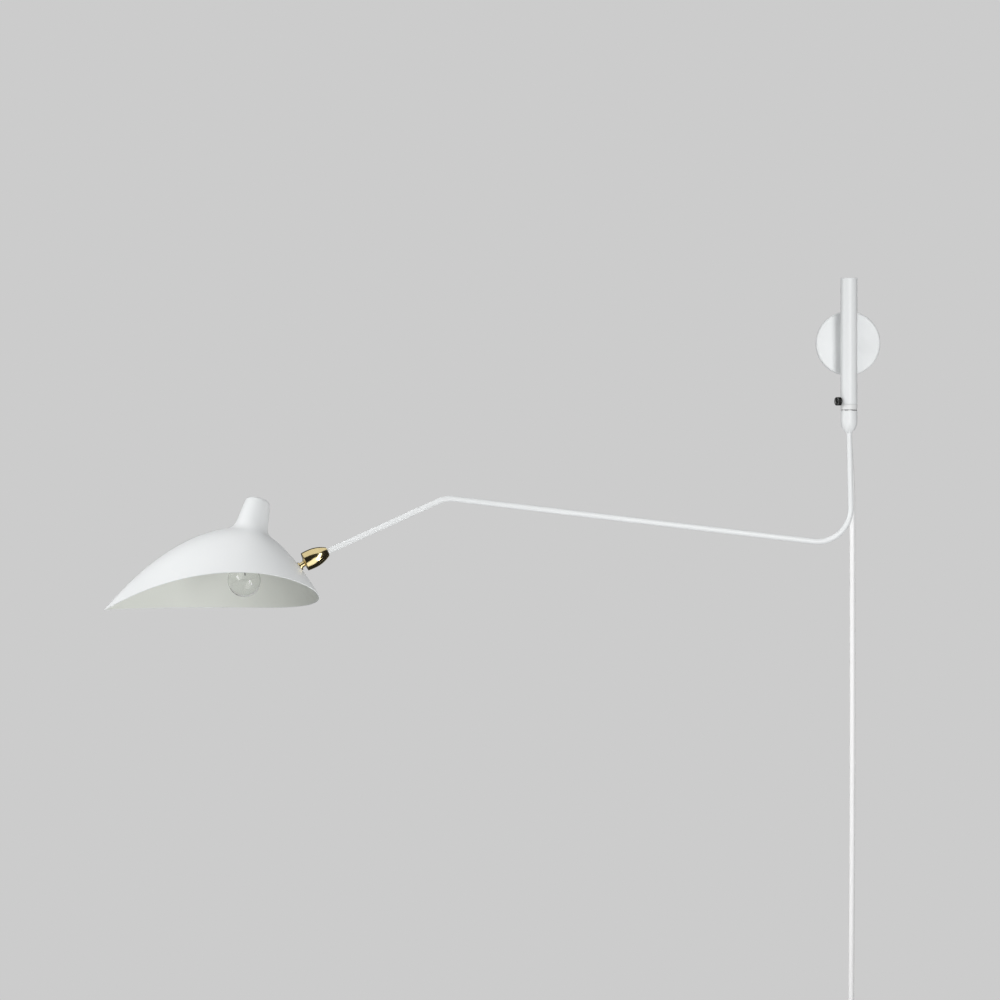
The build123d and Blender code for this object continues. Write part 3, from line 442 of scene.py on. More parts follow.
@dataclass
class Finishes:
    """The lamp's coats, each made once."""

    enamel: Coat = coat(Slot.WHITE_PAINT, Enamel())
    brass: Coat = coat(
        Slot.BRASS, TurnedMetal("polished_brass", (0.93, 0.80, 0.46), (0.80, 0.63, 0.30), 0.07)
    )
    nickel: Coat = coat(
        Slot.POLISHED_STEEL, TurnedMetal("dark_nickel", (0.42, 0.42, 0.41), (0.26, 0.26, 0.26), 0.12)
    )
    cap_metal: Coat = coat(
        Slot.CAP_METAL, TurnedMetal("rolled_cap", (0.80, 0.80, 0.78), (0.62, 0.62, 0.60), 0.25)
    )
    tungsten: Coat = coat(
        Slot.CLEAR_GLASS, TurnedMetal("tungsten", (0.34, 0.33, 0.32), (0.20, 0.20, 0.20), 0.35)
    )
    steel: Coat = coat(Slot.STEEL, PlatedSteel())
    plastic: Coat = coat(
        Slot.WHITE_PLASTIC, Moulding("white_moulding", (0.83, 0.84, 0.84), (0.79, 0.80, 0.80), 0.34)
    )
    ceramic: Coat = coat(
        Slot.WHITE_PLASTIC,
        Moulding("glazed_holder", (0.80, 0.79, 0.75), (0.75, 0.74, 0.70), 0.18, 260.0, 0.00005, 0.15),
    )
    sheath: Coat = coat(
        Slot.CORD_SHEATH,
        Moulding("cord_sheath", (0.94, 0.94, 0.94), (0.90, 0.90, 0.90), 0.38, 900.0, 0.00005, 0.2),
    )
    glass: Coat = coat(Slot.CLEAR_GLASS, BlownGlass())


# Surfaces


def unit(vectors: Array) -> Array:
    """Vectors made one long."""
    return vectors / np.linalg.norm(vectors, axis=-1, keepdims=True)


def headings(path: Array) -> Array:
    """The unit direction of a path at each of its points."""
    return unit(np.gradient(path, axis=0))


def round_angles(sides: int) -> Array:
    """The angles of even columns round a full turn."""
    return np.linspace(0.0, 2 * np.pi, sides, endpoint=False)


def bowed(t: Array, start: Array, control: Array, stop: Array) -> Array:
    """A curve over three points: (1 - t)^2 of the first, 2 t (1 - t) of the next, t^2 of the last."""
    return (1 - t) ** 2 * start + 2 * t * (1 - t) * control + t**2 * stop


@dataclass(frozen=True)
class Axes:
    """A right-handed set of axes, standing at an origin."""

    origin: Array
    across: Array
    beside: Array
    along: Array

    @classmethod
    def on(cls, origin: Sequence[float], along: Sequence[float], across: Sequence[float]) -> "Axes":
        """Axes with a given long axis.

        Args:
            origin: where they stand.
            along: the third axis.
            across: about where the first axis points; it is squared to the third.

        Returns:
            The axes.
        """
        third = unit(np.asarray(along, float))
        first = unit(np.asarray(across, float) - np.dot(across, third) * third)
        return cls(np.asarray(origin, float), first, np.cross(third, first), third)

    def place(self, points: Array) -> Array:
        """Points in these axes, put into the model's frame."""
        return self.origin + points @ np.stack([self.across, self.beside, self.along])

    def read(self, points: Array) -> Array:
        """Points in the model's frame, read in these axes."""
        return (points - self.origin) @ np.stack([self.across, self.beside, self.along], axis=1)


def joint(name: str) -> tuple[Array, Array]:
    """A packed joint's place and axis."""
    found = next(item for item in frame["joints"] if item["name"] == name)
    return np.array(found["pos_m"], float), np.array(found["axis"], float)


def pole_axes() -> Axes:
    """Upright axes on the swing's pivot, at the level of the canopy's middle."""
    pivot, _ = joint("arm_swing")
    return Axes.on((pivot[0], pivot[1], 0.0), UP, RIGHT)


def lamp_axes() -> Axes:
    """The lampholder's and the bulb's axes, at the bulb's middle."""
    bulb, axis = joint("bulb_turn")
    return Axes.on(bulb, axis, RIGHT)


def rounded(corners: Sequence[Point], closed: bool = False, steps: int = 6) -> Array:
    """An outline whose corners are arcs that touch both their sides.

    Each corner is (first, second, radius). Its arc starts radius / tan(half the angle) from the
    corner, or a little short of the side's middle where that is nearer, and a guard point stands
    just outside each end, so that flat sides shade flat.

    Args:
        corners: the outline's corners.
        closed: whether the last corner runs on to the first.
        steps: parts of each arc.

    Returns:
        The outline's points, one row each.
    """
    most_of_side, guard_of_arc, guard_of_side = 0.48, 0.3, 0.02
    spots = np.array([corner[:2] for corner in corners], float)
    count = len(spots)
    turns = np.linspace(0.0, 1.0, steps + 1)[:, None]
    parts = []
    for index, (spot, corner) in enumerate(zip(spots, corners)):
        at_end = not closed and index in (0, count - 1)
        if at_end or corner[2] <= 0:
            parts.append(spot[None])
            continue
        back, ahead = spots[index - 1] - spot, spots[(index + 1) % count] - spot
        shorter = min(np.linalg.norm(back), np.linalg.norm(ahead))
        back, ahead = unit(back), unit(ahead)
        half = math.acos(float(np.clip(np.dot(back, ahead), -1, 1))) / 2
        reach = min(corner[2] / math.tan(half), most_of_side * shorter)
        centre = spot + unit(back + ahead) * reach / math.cos(half)
        start, stop = spot + back * reach - centre, spot + ahead * reach - centre
        sweep = math.pi - 2 * half
        bend = (np.sin((1 - turns) * sweep) * start + np.sin(turns * sweep) * stop) / math.sin(sweep)
        guard = reach + min(guard_of_arc * reach, guard_of_side * shorter)
        parts += [(spot + back * guard)[None], centre + bend, (spot + ahead * guard)[None]]
    return np.concatenate(parts)


def arc(centre: tuple[float, float], radius: float, start: float, stop: float, count: int) -> Array:
    """Points of a circle's arc, from one angle in degrees to another."""
    angles = np.radians(np.linspace(start, stop, count))
    return np.stack([centre[0] + radius * np.cos(angles), centre[1] + radius * np.sin(angles)], axis=1)


def drawn_in(inset: float, run: float) -> tuple[float, float]:
    """The arc that leaves a straight side along it and comes in by an inset over a run.

    Its radius is (inset^2 + run^2) / (2 inset), and the sine of its angle is run / radius.

    Args:
        inset: how far it comes in.
        run: how far it goes on.

    Returns:
        The arc's radius, and its angle in degrees.
    """
    radius = (inset**2 + run**2) / (2 * inset)
    return radius, math.degrees(math.asin(run / radius))


def swept(path: Array, radius: float, side: Array, sides: int) -> Array:
    """A round carried along a path.

    At each station the ring's point at an angle a is the path's point plus the radius times
    (cos a of the side, plus sin a of the heading crossed with that side).

    Args:
        path: the path's points.
        radius: the round's radius.
        side: a unit vector square to the path, one for all of it or one a station.
        sides: columns round the path.

    Returns:
        A grid of points, rows by columns by 3.
    """
    side = np.broadcast_to(side, path.shape)
    other = np.cross(headings(path), side)
    angle = round_angles(sides)[:, None]
    return path[:, None] + radius * (np.cos(angle) * side[:, None] + np.sin(angle) * other[:, None])


def stand(name: str, data: bpy.types.ID) -> bpy.types.Object:
    """Put a new object into the scene, at the origin.

    Args:
        name: the object's name.
        data: its mesh, curve, light or camera.

    Returns:
        The object.
    """
    made = bpy.data.objects.new(name, data)
    bpy.context.scene.collection.objects.link(made)
    return made


def grid_piece(
    name: str, grid: Array, closed_rows: bool = False, capped: bool = False, inside: Array | None = None
) -> bpy.types.Object:
    """A mesh over a grid of points whose columns run round and close.

    The UV map holds each point's distance round its row and down its column, in metres.

    Args:
        name: the piece's name.
        grid: rows by columns by 3.
        closed_rows: whether the last row joins the first.
        capped: whether the first and last rows are closed with flat faces.
        inside: for each row, 1 where it lies inside the shade, which the enamel paints darker and
            greener as painted shade, and 0 elsewhere.

    Returns:
        The new object, at the origin.
    """
    rows, columns = grid.shape[:2]
    row = np.arange(rows if closed_rows else rows - 1)[:, None]
    column = np.arange(columns)[None, :]
    here, after, beside = row * columns, (row + 1) % rows * columns, (column + 1) % columns
    quads = np.stack([here + column, here + beside, after + beside, after + column], axis=2)
    faces = quads.reshape(-1, 4).tolist()
    if capped:
        faces.append(list(range(columns - 1, -1, -1)))
        faces.append(list(range((rows - 1) * columns, rows * columns)))
    mesh = bpy.data.meshes.new(name)
    mesh.from_pydata(grid.reshape(-1, 3), [], faces)
    down = np.linalg.norm(np.diff(grid, axis=0), axis=2).mean(axis=1)
    down = np.concatenate([[0.0], np.cumsum(down)])
    around = np.linalg.norm(np.diff(grid, axis=1), axis=2).mean() * np.arange(columns)
    spots = np.stack([np.tile(around, rows), np.repeat(down, columns)], axis=1)
    loops = np.empty(len(mesh.loops), np.int32)
    mesh.loops.foreach_get("vertex_index", loops)
    mesh.uv_layers.new(name="surface").data.foreach_set("uv", spots[loops].astype(np.float32).ravel())
    # mark the rows that the enamel paints with painted shade
    if inside is not None:
        marks = mesh.attributes.new(PAINTED_SHADE_MARK, "FLOAT", "POINT")
        marks.data.foreach_set("value", np.repeat(inside, columns).astype(np.float32))
    work = bmesh.new()
    work.from_mesh(mesh)
    bmesh.ops.remove_doubles(work, verts=work.verts, dist=WELD)
    bmesh.ops.dissolve_degenerate(work, edges=work.edges, dist=WELD)
    work.to_mesh(mesh)
    work.free()
    mesh.polygons.foreach_set("use_smooth", np.ones(len(mesh.polygons), bool))
    mesh.set_sharp_from_angle(angle=SHARP_ANGLE)
    mesh.update()
    return stand(name, mesh)


def turned(
    name: str, profile: Array, axes: Axes, sides: int = 96, ripple: Array | None = None
) -> bpy.types.Object:
    """A piece whose profile is turned about the third axis.

    The point at row i and column j stands at the profile's radius i, in the direction of
    angle 2 pi j / sides, at the profile's height i. A ripple is added to the radius. A profile
    that starts on the axis ends there too, and any other one joins its own start.

    Args:
        name: the piece's name.
        profile: (radius, height) rows; a solid's outer side runs upwards.
        axes: what it is turned about.
        sides: columns in a turn.
        ripple: extra radius for each row and column.

    Returns:
        The new object, at the origin.
    """
    angle = round_angles(sides)
    radius = profile[:, :1] + (0.0 if ripple is None else ripple)
    height = np.broadcast_to(profile[:, 1:], (len(profile), sides))
    grid = np.stack([radius * np.cos(angle), radius * np.sin(angle), height], axis=2)
    return grid_piece(name, axes.place(grid), closed_rows=bool(profile[0, 0] > WELD))


def joined(name: str, pieces: Sequence[bpy.types.Object]) -> bpy.types.Object:
    """Several meshes made one piece.

    Args:
        name: the piece's name.
        pieces: what goes into it; they are removed.

    Returns:
        The joined object.
    """
    with bpy.context.temp_override(active_object=pieces[0], selected_editable_objects=list(pieces)):
        bpy.ops.object.join()
    pieces[0].name = name
    pieces[0].data.name = name
    return pieces[0]


def dress(piece: bpy.types.Object, body: Body, finish: Coat, *nodes: str) -> bpy.types.Object:
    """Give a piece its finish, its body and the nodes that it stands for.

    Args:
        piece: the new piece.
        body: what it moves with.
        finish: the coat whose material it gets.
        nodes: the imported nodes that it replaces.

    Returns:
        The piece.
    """
    finish.cover(piece)
    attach(piece, body.value)
    if nodes:
        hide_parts(*nodes)
    log.info("%s rides on %s", piece.name, body.value)
    return piece


# The lamp's sub-assemblies


@dataclass
class SubAssembly:
    """Pieces that are made and dressed together."""

    finishes: Finishes

    def build(self) -> None:
        """Make the pieces and dress them."""
        raise NotImplementedError


@dataclass
class WallCanopy(SubAssembly):
    """The round cover on the wall, with a hole behind the pole's neck."""

    radius: float = 0.040
    depth: float = 0.022
    sheet: float = 0.0012
    edge: float = 0.0024
    neck_radius: float = 0.007
    sides: int = 160

    def cover(self) -> bpy.types.Object:
        """A flat-faced cup with a rounded rim, open to the wall, turned about the wall's normal.

        Returns:
            The cover.
        """
        axes = Axes.on((0.0, 0.0, 0.0), -INTO_WALL, RIGHT)
        r, d, t = self.radius, self.depth, self.sheet
        hole = self.neck_radius - 2 * t
        outline = rounded(
            [
                (r, 0.0, 0.0),
                (r, d, self.edge),
                (hole, d, 0.0),
                (hole, d - t, 0.0),
                (r - t, d - t, self.edge - t),
                (r - t, 0.0, 0.0),
            ],
            steps=8,
        )
        return turned("canopy_cover", outline, axes, self.sides)

    def build(self) -> None:
        """Make the cover and dress it."""
        dress(self.cover(), Body.WALL_MOUNT, self.finishes.enamel, "canopy")


@dataclass
class Pole(SubAssembly):
    """The upright tube, its cap, the ring of its lower bush and the knurled clamp screw."""

    radius: float = 0.0105
    wall: float = 0.0020
    top: float = 0.081
    bottom: float = -0.076
    edge: float = 0.0008
    cap_dip: float = 0.0003
    cap_depth: float = 0.004
    cap_edge: float = 0.0006
    bush_height: float = 0.0070
    bush_round: float = 0.0011
    bush_groove: float = 0.0005
    spindle_radius: float = 0.0061
    head_radius: float = 0.0054
    head_start: float = 0.0125
    head_length: float = 0.0060
    head_round: float = 0.0006
    dish_shares: tuple[float, float] = (0.62, 0.55)
    dish_depth: float = 0.0006
    dish_round: float = 0.0004
    shoulder_radius: float = 0.0033
    shoulder_start: float = 0.0115
    shank_radius: float = 0.0020
    shank_start: float = 0.0063
    shank_round: float = 0.0003
    knurls: int = 26
    knurl_depth: float = 0.00028
    sides_a_knurl: int = 8

    def tube(self) -> bpy.types.Object:
        """A plain tube with eased ends.

        Returns:
            The tube.
        """
        inner = self.radius - self.wall
        outline = rounded(
            [
                (self.radius, self.bottom, self.edge / 2),
                (self.radius, self.top, self.edge),
                (inner, self.top, self.edge / 4),
                (inner, self.bottom, 0.0),
            ],
            closed=True,
        )
        return turned("pole_tube", outline, pole_axes())

    def cap(self) -> bpy.types.Object:
        """A disc that closes the top, a hair below the tube's edge.

        Returns:
            The cap.
        """
        inner = self.radius - self.wall
        level = self.top - self.cap_dip
        under = level - self.cap_depth
        edge = (inner, level, self.cap_edge)
        outline = rounded([(0.0, under, 0.0), (inner, under, 0.0), edge, (0.0, level, 0.0)])
        return turned("pole_end_cap", outline, pole_axes())

    def bush(self) -> bpy.types.Object:
        """The lower bush's flange, a ring with round edges and a groove where it meets the tube.

        Returns:
            The ring.
        """
        foot = self.bottom - self.bush_height
        groove_foot = self.bottom - self.bush_groove
        groove_radius = self.radius - self.bush_groove * 2
        outline = rounded(
            [
                (self.radius, foot, self.bush_round),
                (self.radius, groove_foot, self.bush_round),
                (groove_radius, groove_foot, 0.0),
                (groove_radius, self.bottom, 0.0),
                (self.spindle_radius, self.bottom, 0.0),
                (self.spindle_radius, foot, 0.0),
            ],
            closed=True,
        )
        return turned("bush_ring", outline, pole_axes())

    def clamp(self) -> bpy.types.Object:
        """The clamp screw: round the head's rim the radius dips by depth times (1 + cosine) a knurl.

        Returns:
            The screw.
        """
        pivot, axis = joint("clamp_turn")
        face = self.head_start + self.head_length
        lip, dish = (self.head_radius * share for share in self.dish_shares)
        outline = rounded(
            [
                (0.0, self.shank_start, 0.0),
                (self.shank_radius, self.shank_start, self.shank_round),
                (self.shank_radius, self.shoulder_start, 0.0),
                (self.shoulder_radius, self.shoulder_start, self.shank_round),
                (self.shoulder_radius, self.head_start, 0.0),
                (self.head_radius, self.head_start, self.head_round),
                (self.head_radius, face, self.head_round),
                (lip, face, self.dish_round),
                (dish, face - self.dish_depth, self.dish_round),
                (0.0, face - self.dish_depth, 0.0),
            ]
        )
        sides = self.knurls * self.sides_a_knurl
        rim = outline[:, :1] - (self.head_radius - self.head_round)
        band = np.clip(rim / self.head_round, 0.0, 1.0)
        ripple = -self.knurl_depth * band * (1 + np.cos(self.knurls * round_angles(sides)))
        return turned("clamp_knob", outline, Axes.on(pivot, axis, UP), sides, ripple)

    def build(self) -> None:
        """Make the pole's pieces and dress them."""
        dress(self.tube(), Body.WALL_MOUNT, self.finishes.enamel, "pole")
        dress(self.cap(), Body.WALL_MOUNT, self.finishes.enamel, "pole_cap")
        dress(self.bush(), Body.WALL_MOUNT, self.finishes.plastic, "lower_bush")
        dress(self.clamp(), Body.CLAMP, self.finishes.nickel, "clamp_screw")


@dataclass
class Arm(SubAssembly):
    """The ferrule under the pole and the bent tube that reaches to the swivel."""

    ferrule_radius: float = 0.0105
    ferrule_top: float = -0.0841
    ferrule_straight: float = 0.0135
    ferrule_height: float = 0.0270
    ferrule_tip: float = 0.0042
    ferrule_edge: float = 0.0008
    ferrule_rows: int = 20
    spindle_radius: float = 0.0060
    seat_depth: float = 0.0110
    tube_radius: float = 0.0035
    tube_wall: float = 0.0010
    tube_sides: int = 40
    elbow: tuple[float, float] = (-0.0035, -0.2527)
    knee: tuple[float, float] = (0.5070, -0.1930)
    elbow_bend: float = 0.042
    knee_bend: float = 0.035
    bend_steps: int = 28
    end_behind_ball: float = 0.0136

    def ferrule(self) -> bpy.types.Object:
        """A straight collar that closes in to the tube along one arc, upright where it starts.

        Returns:
            The ferrule.
        """
        shoulder = self.ferrule_top - self.ferrule_straight
        seat = self.ferrule_top - self.seat_depth
        bend, sweep = drawn_in(
            self.ferrule_radius - self.ferrule_tip, self.ferrule_height - self.ferrule_straight
        )
        side = arc((self.ferrule_radius - bend, shoulder), bend, -sweep, 0.0, self.ferrule_rows)
        top = rounded(
            [
                (self.ferrule_radius, shoulder, 0.0),
                (self.ferrule_radius, self.ferrule_top, self.ferrule_edge),
                (self.spindle_radius, self.ferrule_top, 0.0),
                (self.spindle_radius, seat, 0.0),
                (self.tube_radius, seat, 0.0),
                (self.tube_radius, self.ferrule_top - self.ferrule_height, 0.0),
            ]
        )
        outline = np.concatenate([side, top[1:]])
        return turned("arm_ferrule", outline, pole_axes())

    def tube(self) -> bpy.types.Object:
        """The tube: straight runs joined by the elbow's and the knee's arcs, in the arm's plane.

        Returns:
            The tube.
        """
        pivot = pole_axes().origin
        ball, end_axis = joint("swivel_turn")
        out = unit(np.array([ball[0] - pivot[0], ball[1] - pivot[1], 0.0]))
        end = ball - end_axis * self.end_behind_ball - pivot
        route = rounded(
            [
                (0.0, self.ferrule_top - self.seat_depth, 0.0),
                (*self.elbow, self.elbow_bend),
                (*self.knee, self.knee_bend),
                (float(np.dot(end, out)), float(end[2]), 0.0),
            ],
            steps=self.bend_steps,
        )
        path = pivot + route[:, :1] * out + route[:, 1:] * UP
        side = np.cross(out, UP)
        outer = swept(path, self.tube_radius, side, self.tube_sides)
        inner = swept(path, self.tube_radius - self.tube_wall, side, self.tube_sides)
        return grid_piece("arm_pipe", np.concatenate([outer, inner[::-1]]), closed_rows=True)

    def build(self) -> None:
        """Make the arm's pieces and dress them."""
        dress(self.ferrule(), Body.ARM, self.finishes.enamel, "ferrule")
        dress(self.tube(), Body.ARM, self.finishes.enamel, "arm_tube")


@dataclass
class Swivel(SubAssembly):
    """The brass bullet on the arm's end, its mouth ring and the ball stud of the shade."""

    length: float = 0.0310
    mouth_radius: float = 0.0117
    mouth_rows: int = 12
    belly_radius: float = 0.0121
    belly_at: float = 0.0090
    nose_radius: float = 0.0057
    nose_rows: int = 28
    wall: float = 0.0015
    chamber_depth: float = 0.0170
    collar_room: float = 0.0075
    arm_seat: float = 0.0085
    arm_bore: float = 0.00355
    bullet_sides: int = 128
    ball_radius: float = 0.0080
    ball_depth: float = 0.0055
    ball_rows: int = 40
    ball_seat: float = 0.0081
    seat_rows: int = 12
    ring_height: float = 0.0038
    ring_mouth: float = 0.0068
    ring_lip: float = 0.0010
    stud_radius: float = 0.0035
    stud_bore: float = 0.0020
    stud_round: float = 0.0004
    flange_radius: float = 0.0055
    flange_height: float = 0.0020
    flange_face: float = 0.0145
    flange_round: float = 0.0003
    stud_end: float = 0.0226

    def axes(self) -> Axes:
        """Axes at the mouth, with the third one running back along the arm."""
        ball, towards_shade = joint("swivel_turn")
        return Axes.on(ball + towards_shade * self.ball_depth, -towards_shade, UP)

    def bullet(self) -> bpy.types.Object:
        """The housing: a slight swell from the mouth to the belly, then one arc in to the nose.

        Returns:
            The housing.
        """
        belly = self.belly_radius
        bend, sweep = drawn_in(belly - self.nose_radius, self.length - self.belly_at)
        nose = arc((belly - bend, self.belly_at), bend, 0.0, sweep, self.nose_rows)
        bend, sweep = drawn_in(belly - self.mouth_radius, self.belly_at)
        mouth = arc((belly - bend, self.belly_at), bend, -sweep, 0.0, self.mouth_rows)
        chamber = self.mouth_radius - self.wall
        back = self.length - self.arm_seat
        inside = [
            (self.arm_bore, self.length),
            (self.arm_bore, back),
            (self.collar_room, back),
            (self.collar_room, self.chamber_depth),
            (chamber, self.chamber_depth),
            (chamber, 0.0),
        ]
        outline = np.concatenate([mouth[:-1], nose, inside])
        return turned("swivel_bullet", outline, self.axes(), self.bullet_sides)

    def ring(self) -> bpy.types.Object:
        """The mouth ring, with a round seat for the ball and a flared lip.

        Returns:
            The ring.
        """
        chamber = self.mouth_radius - self.wall
        lip_angle = -math.degrees(math.acos(self.ring_mouth / self.ball_seat))
        seat_angle = -math.degrees(math.asin((self.ball_depth - self.ring_height) / self.ball_seat))
        seat = arc((0.0, self.ball_depth), self.ball_seat, seat_angle, lip_angle, self.seat_rows)
        rim = [(self.ring_mouth + self.ring_lip, 0.0), (chamber, 0.0), (chamber, self.ring_height)]
        return turned("mouth_ring", np.concatenate([seat, rim]), self.axes())

    def stud(self) -> bpy.types.Object:
        """The ball on its hollow stud, with the flange that stops against the shade.

        Returns:
            The stud.
        """
        ball, axis = joint("shade_roll")
        top_angle = math.degrees(math.acos(self.stud_radius / self.ball_radius))
        low_angle = -math.degrees(math.acos(self.stud_bore / self.ball_radius))
        sphere = arc((0.0, 0.0), self.ball_radius, low_angle, top_angle, self.ball_rows)
        flange_back = self.flange_face - self.flange_height
        shank = rounded(
            [
                (self.stud_radius, sphere[-1, 1], 0.0),
                (self.stud_radius, flange_back, self.stud_round),
                (self.flange_radius, flange_back, self.stud_round),
                (self.flange_radius, self.flange_face, self.flange_round),
                (self.stud_radius, self.flange_face, 0.0),
                (self.stud_radius, self.stud_end, self.stud_round),
                (self.stud_bore, self.stud_end, 0.0),
                (self.stud_bore, sphere[0, 1], 0.0),
            ]
        )
        outline = np.concatenate([sphere, shank[1:-1]])
        return turned("ball_and_stud", outline, Axes.on(ball, axis, UP))

    def build(self) -> None:
        """Make the swivel's pieces and dress them."""
        dress(self.bullet(), Body.SWIVEL, self.finishes.brass, "swivel_body")
        dress(self.ring(), Body.SWIVEL, self.finishes.brass, "swivel_ring")
        dress(self.stud(), Body.STUD, self.finishes.brass, "ball_stud")


@dataclass
class Visor(SubAssembly):
    """The shade's sheet, the chimney on its crown and the lampholder under it.

    Seen from above the rim is half a round at the back and a parabola in front. The height over
    the tip falls from the crown along the crest, and from the crest to the rim across.
    """

    front: float = 0.1733
    half_width: float = 0.0923
    crown: float = 0.1036
    rear_power: float = 1.8
    rim_arch: float = 0.550
    rim_peak: float = -0.0083
    sheet: float = 0.0012
    sheet_rows: int = 72
    sheet_columns: int = 288
    rows_to_rim: float = 1.25
    rim_rows: int = 7
    rim_swell: float = 0.6
    roll: float = math.radians(14.3)
    lean: float = math.radians(7.3)
    bulb_at: tuple[float, float] = (-0.0010, 0.0375)
    eye_radius: float = 0.0127
    chimney_lean: float = math.radians(13.5)
    chimney_height: float = 0.0380
    chimney_side: float = 0.0163
    chimney_edge: float = 0.0075
    chimney_edge_rows: int = 12
    flat_ring: float = 0.6
    chimney_slope: float = 0.1370
    chimney_blend: float = 0.0110
    chimney_blend_rows: int = 18
    chimney_sides: int = 160
    landing_steps: int = 12
    holder_radius: float = 0.0120
    holder_mouth: float = 0.0320
    holder_back: float = 0.0135
    holder_round: float = 0.0015
    holder_bore: float = 0.0078
    holder_depth: float = 0.0220
    holder_ribs: int = 5
    holder_rib_depth: float = 0.0004
    holder_rows: int = 61

    def axes(self) -> Axes:
        """The shade's axes: X along it to the back, Z up, from the tip's level under its middle.

        Returns:
            The axes.
        """
        bulb, _ = joint("bulb_turn")
        up = np.array([0.0, math.sin(self.roll), math.cos(self.roll)])
        return Axes.on(bulb - RIGHT * self.bulb_at[0] - up * self.bulb_at[1], up, RIGHT)

    def chimney_axes(self) -> Axes:
        """The chimney's axes, which stand on the crown where the lamp's axis passes and lean back.

        Returns:
            The axes.
        """
        shade = self.axes()
        eye = shade.place(np.array([self.eye(), 0.0, self.crown]))
        tilt = shade.across * math.sin(self.chimney_lean) + shade.along * math.cos(self.chimney_lean)
        return Axes.on(eye, tilt, RIGHT)

    def rim_height(self, x: Array) -> Array:
        """The rim's height: a wide arc that is nothing at the tip."""
        rise = self.rim_arch - math.sqrt(self.rim_arch**2 - (self.front + self.rim_peak) ** 2)
        return rise - self.rim_arch + np.sqrt(self.rim_arch**2 - (x - self.rim_peak) ** 2)

    def height(self, x: Array, y: Array) -> Array:
        """The outer face's height over the tip.

        In front of the middle the crest and the half width both shrink as 1 - (x / front)^2. Behind
        it the crest falls to the rim as (x / half_width)^rear_power and the half width is a circle's.
        Across, the face falls from the crest to the rim as (y / half width)^2.

        Args:
            x: places along the length.
            y: places across.

        Returns:
            The heights.
        """
        least, narrow = 1e-12, 1e-9
        rear = self.rim_height(np.array(self.half_width))
        ahead = np.maximum(1 - (x / self.front) ** 2, least)
        behind = np.clip(x / self.half_width, 0.0, 1.0)
        fall = self.crown - (self.crown - rear) * behind**self.rear_power
        crest = np.where(x < 0, self.crown * ahead, fall)
        reach = self.half_width * np.where(x < 0, ahead, np.sqrt(np.maximum(1 - behind**2, least)))
        across = np.where(reach > narrow, y / np.maximum(reach, narrow), 0.0)
        return crest - (crest - self.rim_height(x)) * np.minimum(across**2, 1.0)

    def eye(self) -> float:
        """Where the lamp's axis passes through the crown, along the length."""
        return self.bulb_at[0] + (self.crown - self.bulb_at[1]) * math.tan(self.lean)

    def rim_reach(self, azimuth: Array) -> Array:
        """How far the rim is from the eye, seen from above.

        Behind the middle it is where the ray meets the circle, and in front where it meets the
        parabola, which is the root of a quadratic in the distance.

        Args:
            azimuth: directions, from the back round by the side.

        Returns:
            The distances.
        """
        sideways, least = 1e-9, 1e-12
        c, s = np.cos(azimuth), np.abs(np.sin(azimuth))
        eye = self.eye()
        circle = -eye * c + np.sqrt(self.half_width**2 - (eye * s) ** 2)
        ratio = self.half_width / self.front**2
        square = np.where(np.abs(c) > sideways, ratio * c * c, least)
        plain = s + 2 * ratio * eye * c
        rest = ratio * eye**2 - self.half_width
        parabola = (-plain + np.sqrt(plain**2 - 4 * square * rest)) / (2 * square)
        return np.where(eye + circle * c >= 0, circle, parabola)

    def skin(self, azimuth: Array, share: Array, depth: float) -> Array:
        """A face of the sheet, a depth under the outer one, measured square to it.

        Args:
            azimuth: directions, one a column.
            share: from 0 at the eye to 1 at the rim, one a row.
            depth: how far under the outer face.

        Returns:
            A grid of points in the shade's axes.
        """
        step = 2e-6
        c, s = np.cos(azimuth), np.sin(azimuth)
        reach = self.eye_radius + share[:, None] * (self.rim_reach(azimuth) - self.eye_radius)
        x, y = self.eye() + reach * c, reach * s
        z = self.height(x, y)
        slope = (z - self.height(x - step * c, y - step * s)) / step
        length = np.sqrt(1 + slope**2)
        move = depth * slope / length
        return np.stack([x + move * c, y + move * s, z - depth / length], axis=2)

    def sheet_piece(self) -> bpy.types.Object:
        """The sheet: its outer face, an eased rim, its inner face and the eye, as one closed skin.

        Returns:
            The sheet.
        """
        azimuth = round_angles(self.sheet_columns)
        share = 1 - (1 - np.linspace(0.0, 1.0, self.sheet_rows)) ** self.rows_to_rim
        outer, inner = (self.skin(azimuth, share, depth) for depth in (0.0, self.sheet))
        middle, half = (outer[-1] + inner[-1]) / 2, (outer[-1] - inner[-1]) / 2
        size = np.linalg.norm(half, axis=1, keepdims=True)
        square = half / size
        outward = np.stack([np.cos(azimuth), np.sin(azimuth), np.zeros_like(azimuth)], axis=1)
        outward = unit(outward - square * np.sum(outward * square, axis=1, keepdims=True))
        turn = np.linspace(0.0, np.pi, self.rim_rows)[:, None, None]
        rim = middle + half * np.cos(turn) + outward * size * self.rim_swell * np.sin(turn)
        grid = np.concatenate([inner[:-1], rim[::-1], outer[-2::-1]])
        # the inner face is marked so the enamel paints it darker and greener, as painted shade
        inside = np.arange(len(grid)) < len(inner) - 1
        return grid_piece("visor_sheet", self.axes().place(grid), closed_rows=True, inside=inside)

    def land(self, ring: Array, level: Array) -> Array:
        """Heights on the chimney's axis at which points come down on the outer face.

        Args:
            ring: (across, beside) of each point, in the chimney's axes.
            level: a first guess.

        Returns:
            The heights, by steps of the height still left over the cosine of the lean.
        """
        chimney, shade = self.chimney_axes(), self.axes()
        for _ in range(self.landing_steps):
            x, y, z = shade.read(chimney.place(np.concatenate([ring, level[:, None]], axis=1))).T
            level = level + (self.height(x, y) - z) / math.cos(self.chimney_lean)
        return level

    def side_radius(self, level: Array) -> Array:
        """The chimney's straight side: its radius at a height."""
        return self.chimney_side + (self.chimney_height - self.chimney_edge - level) * self.chimney_slope

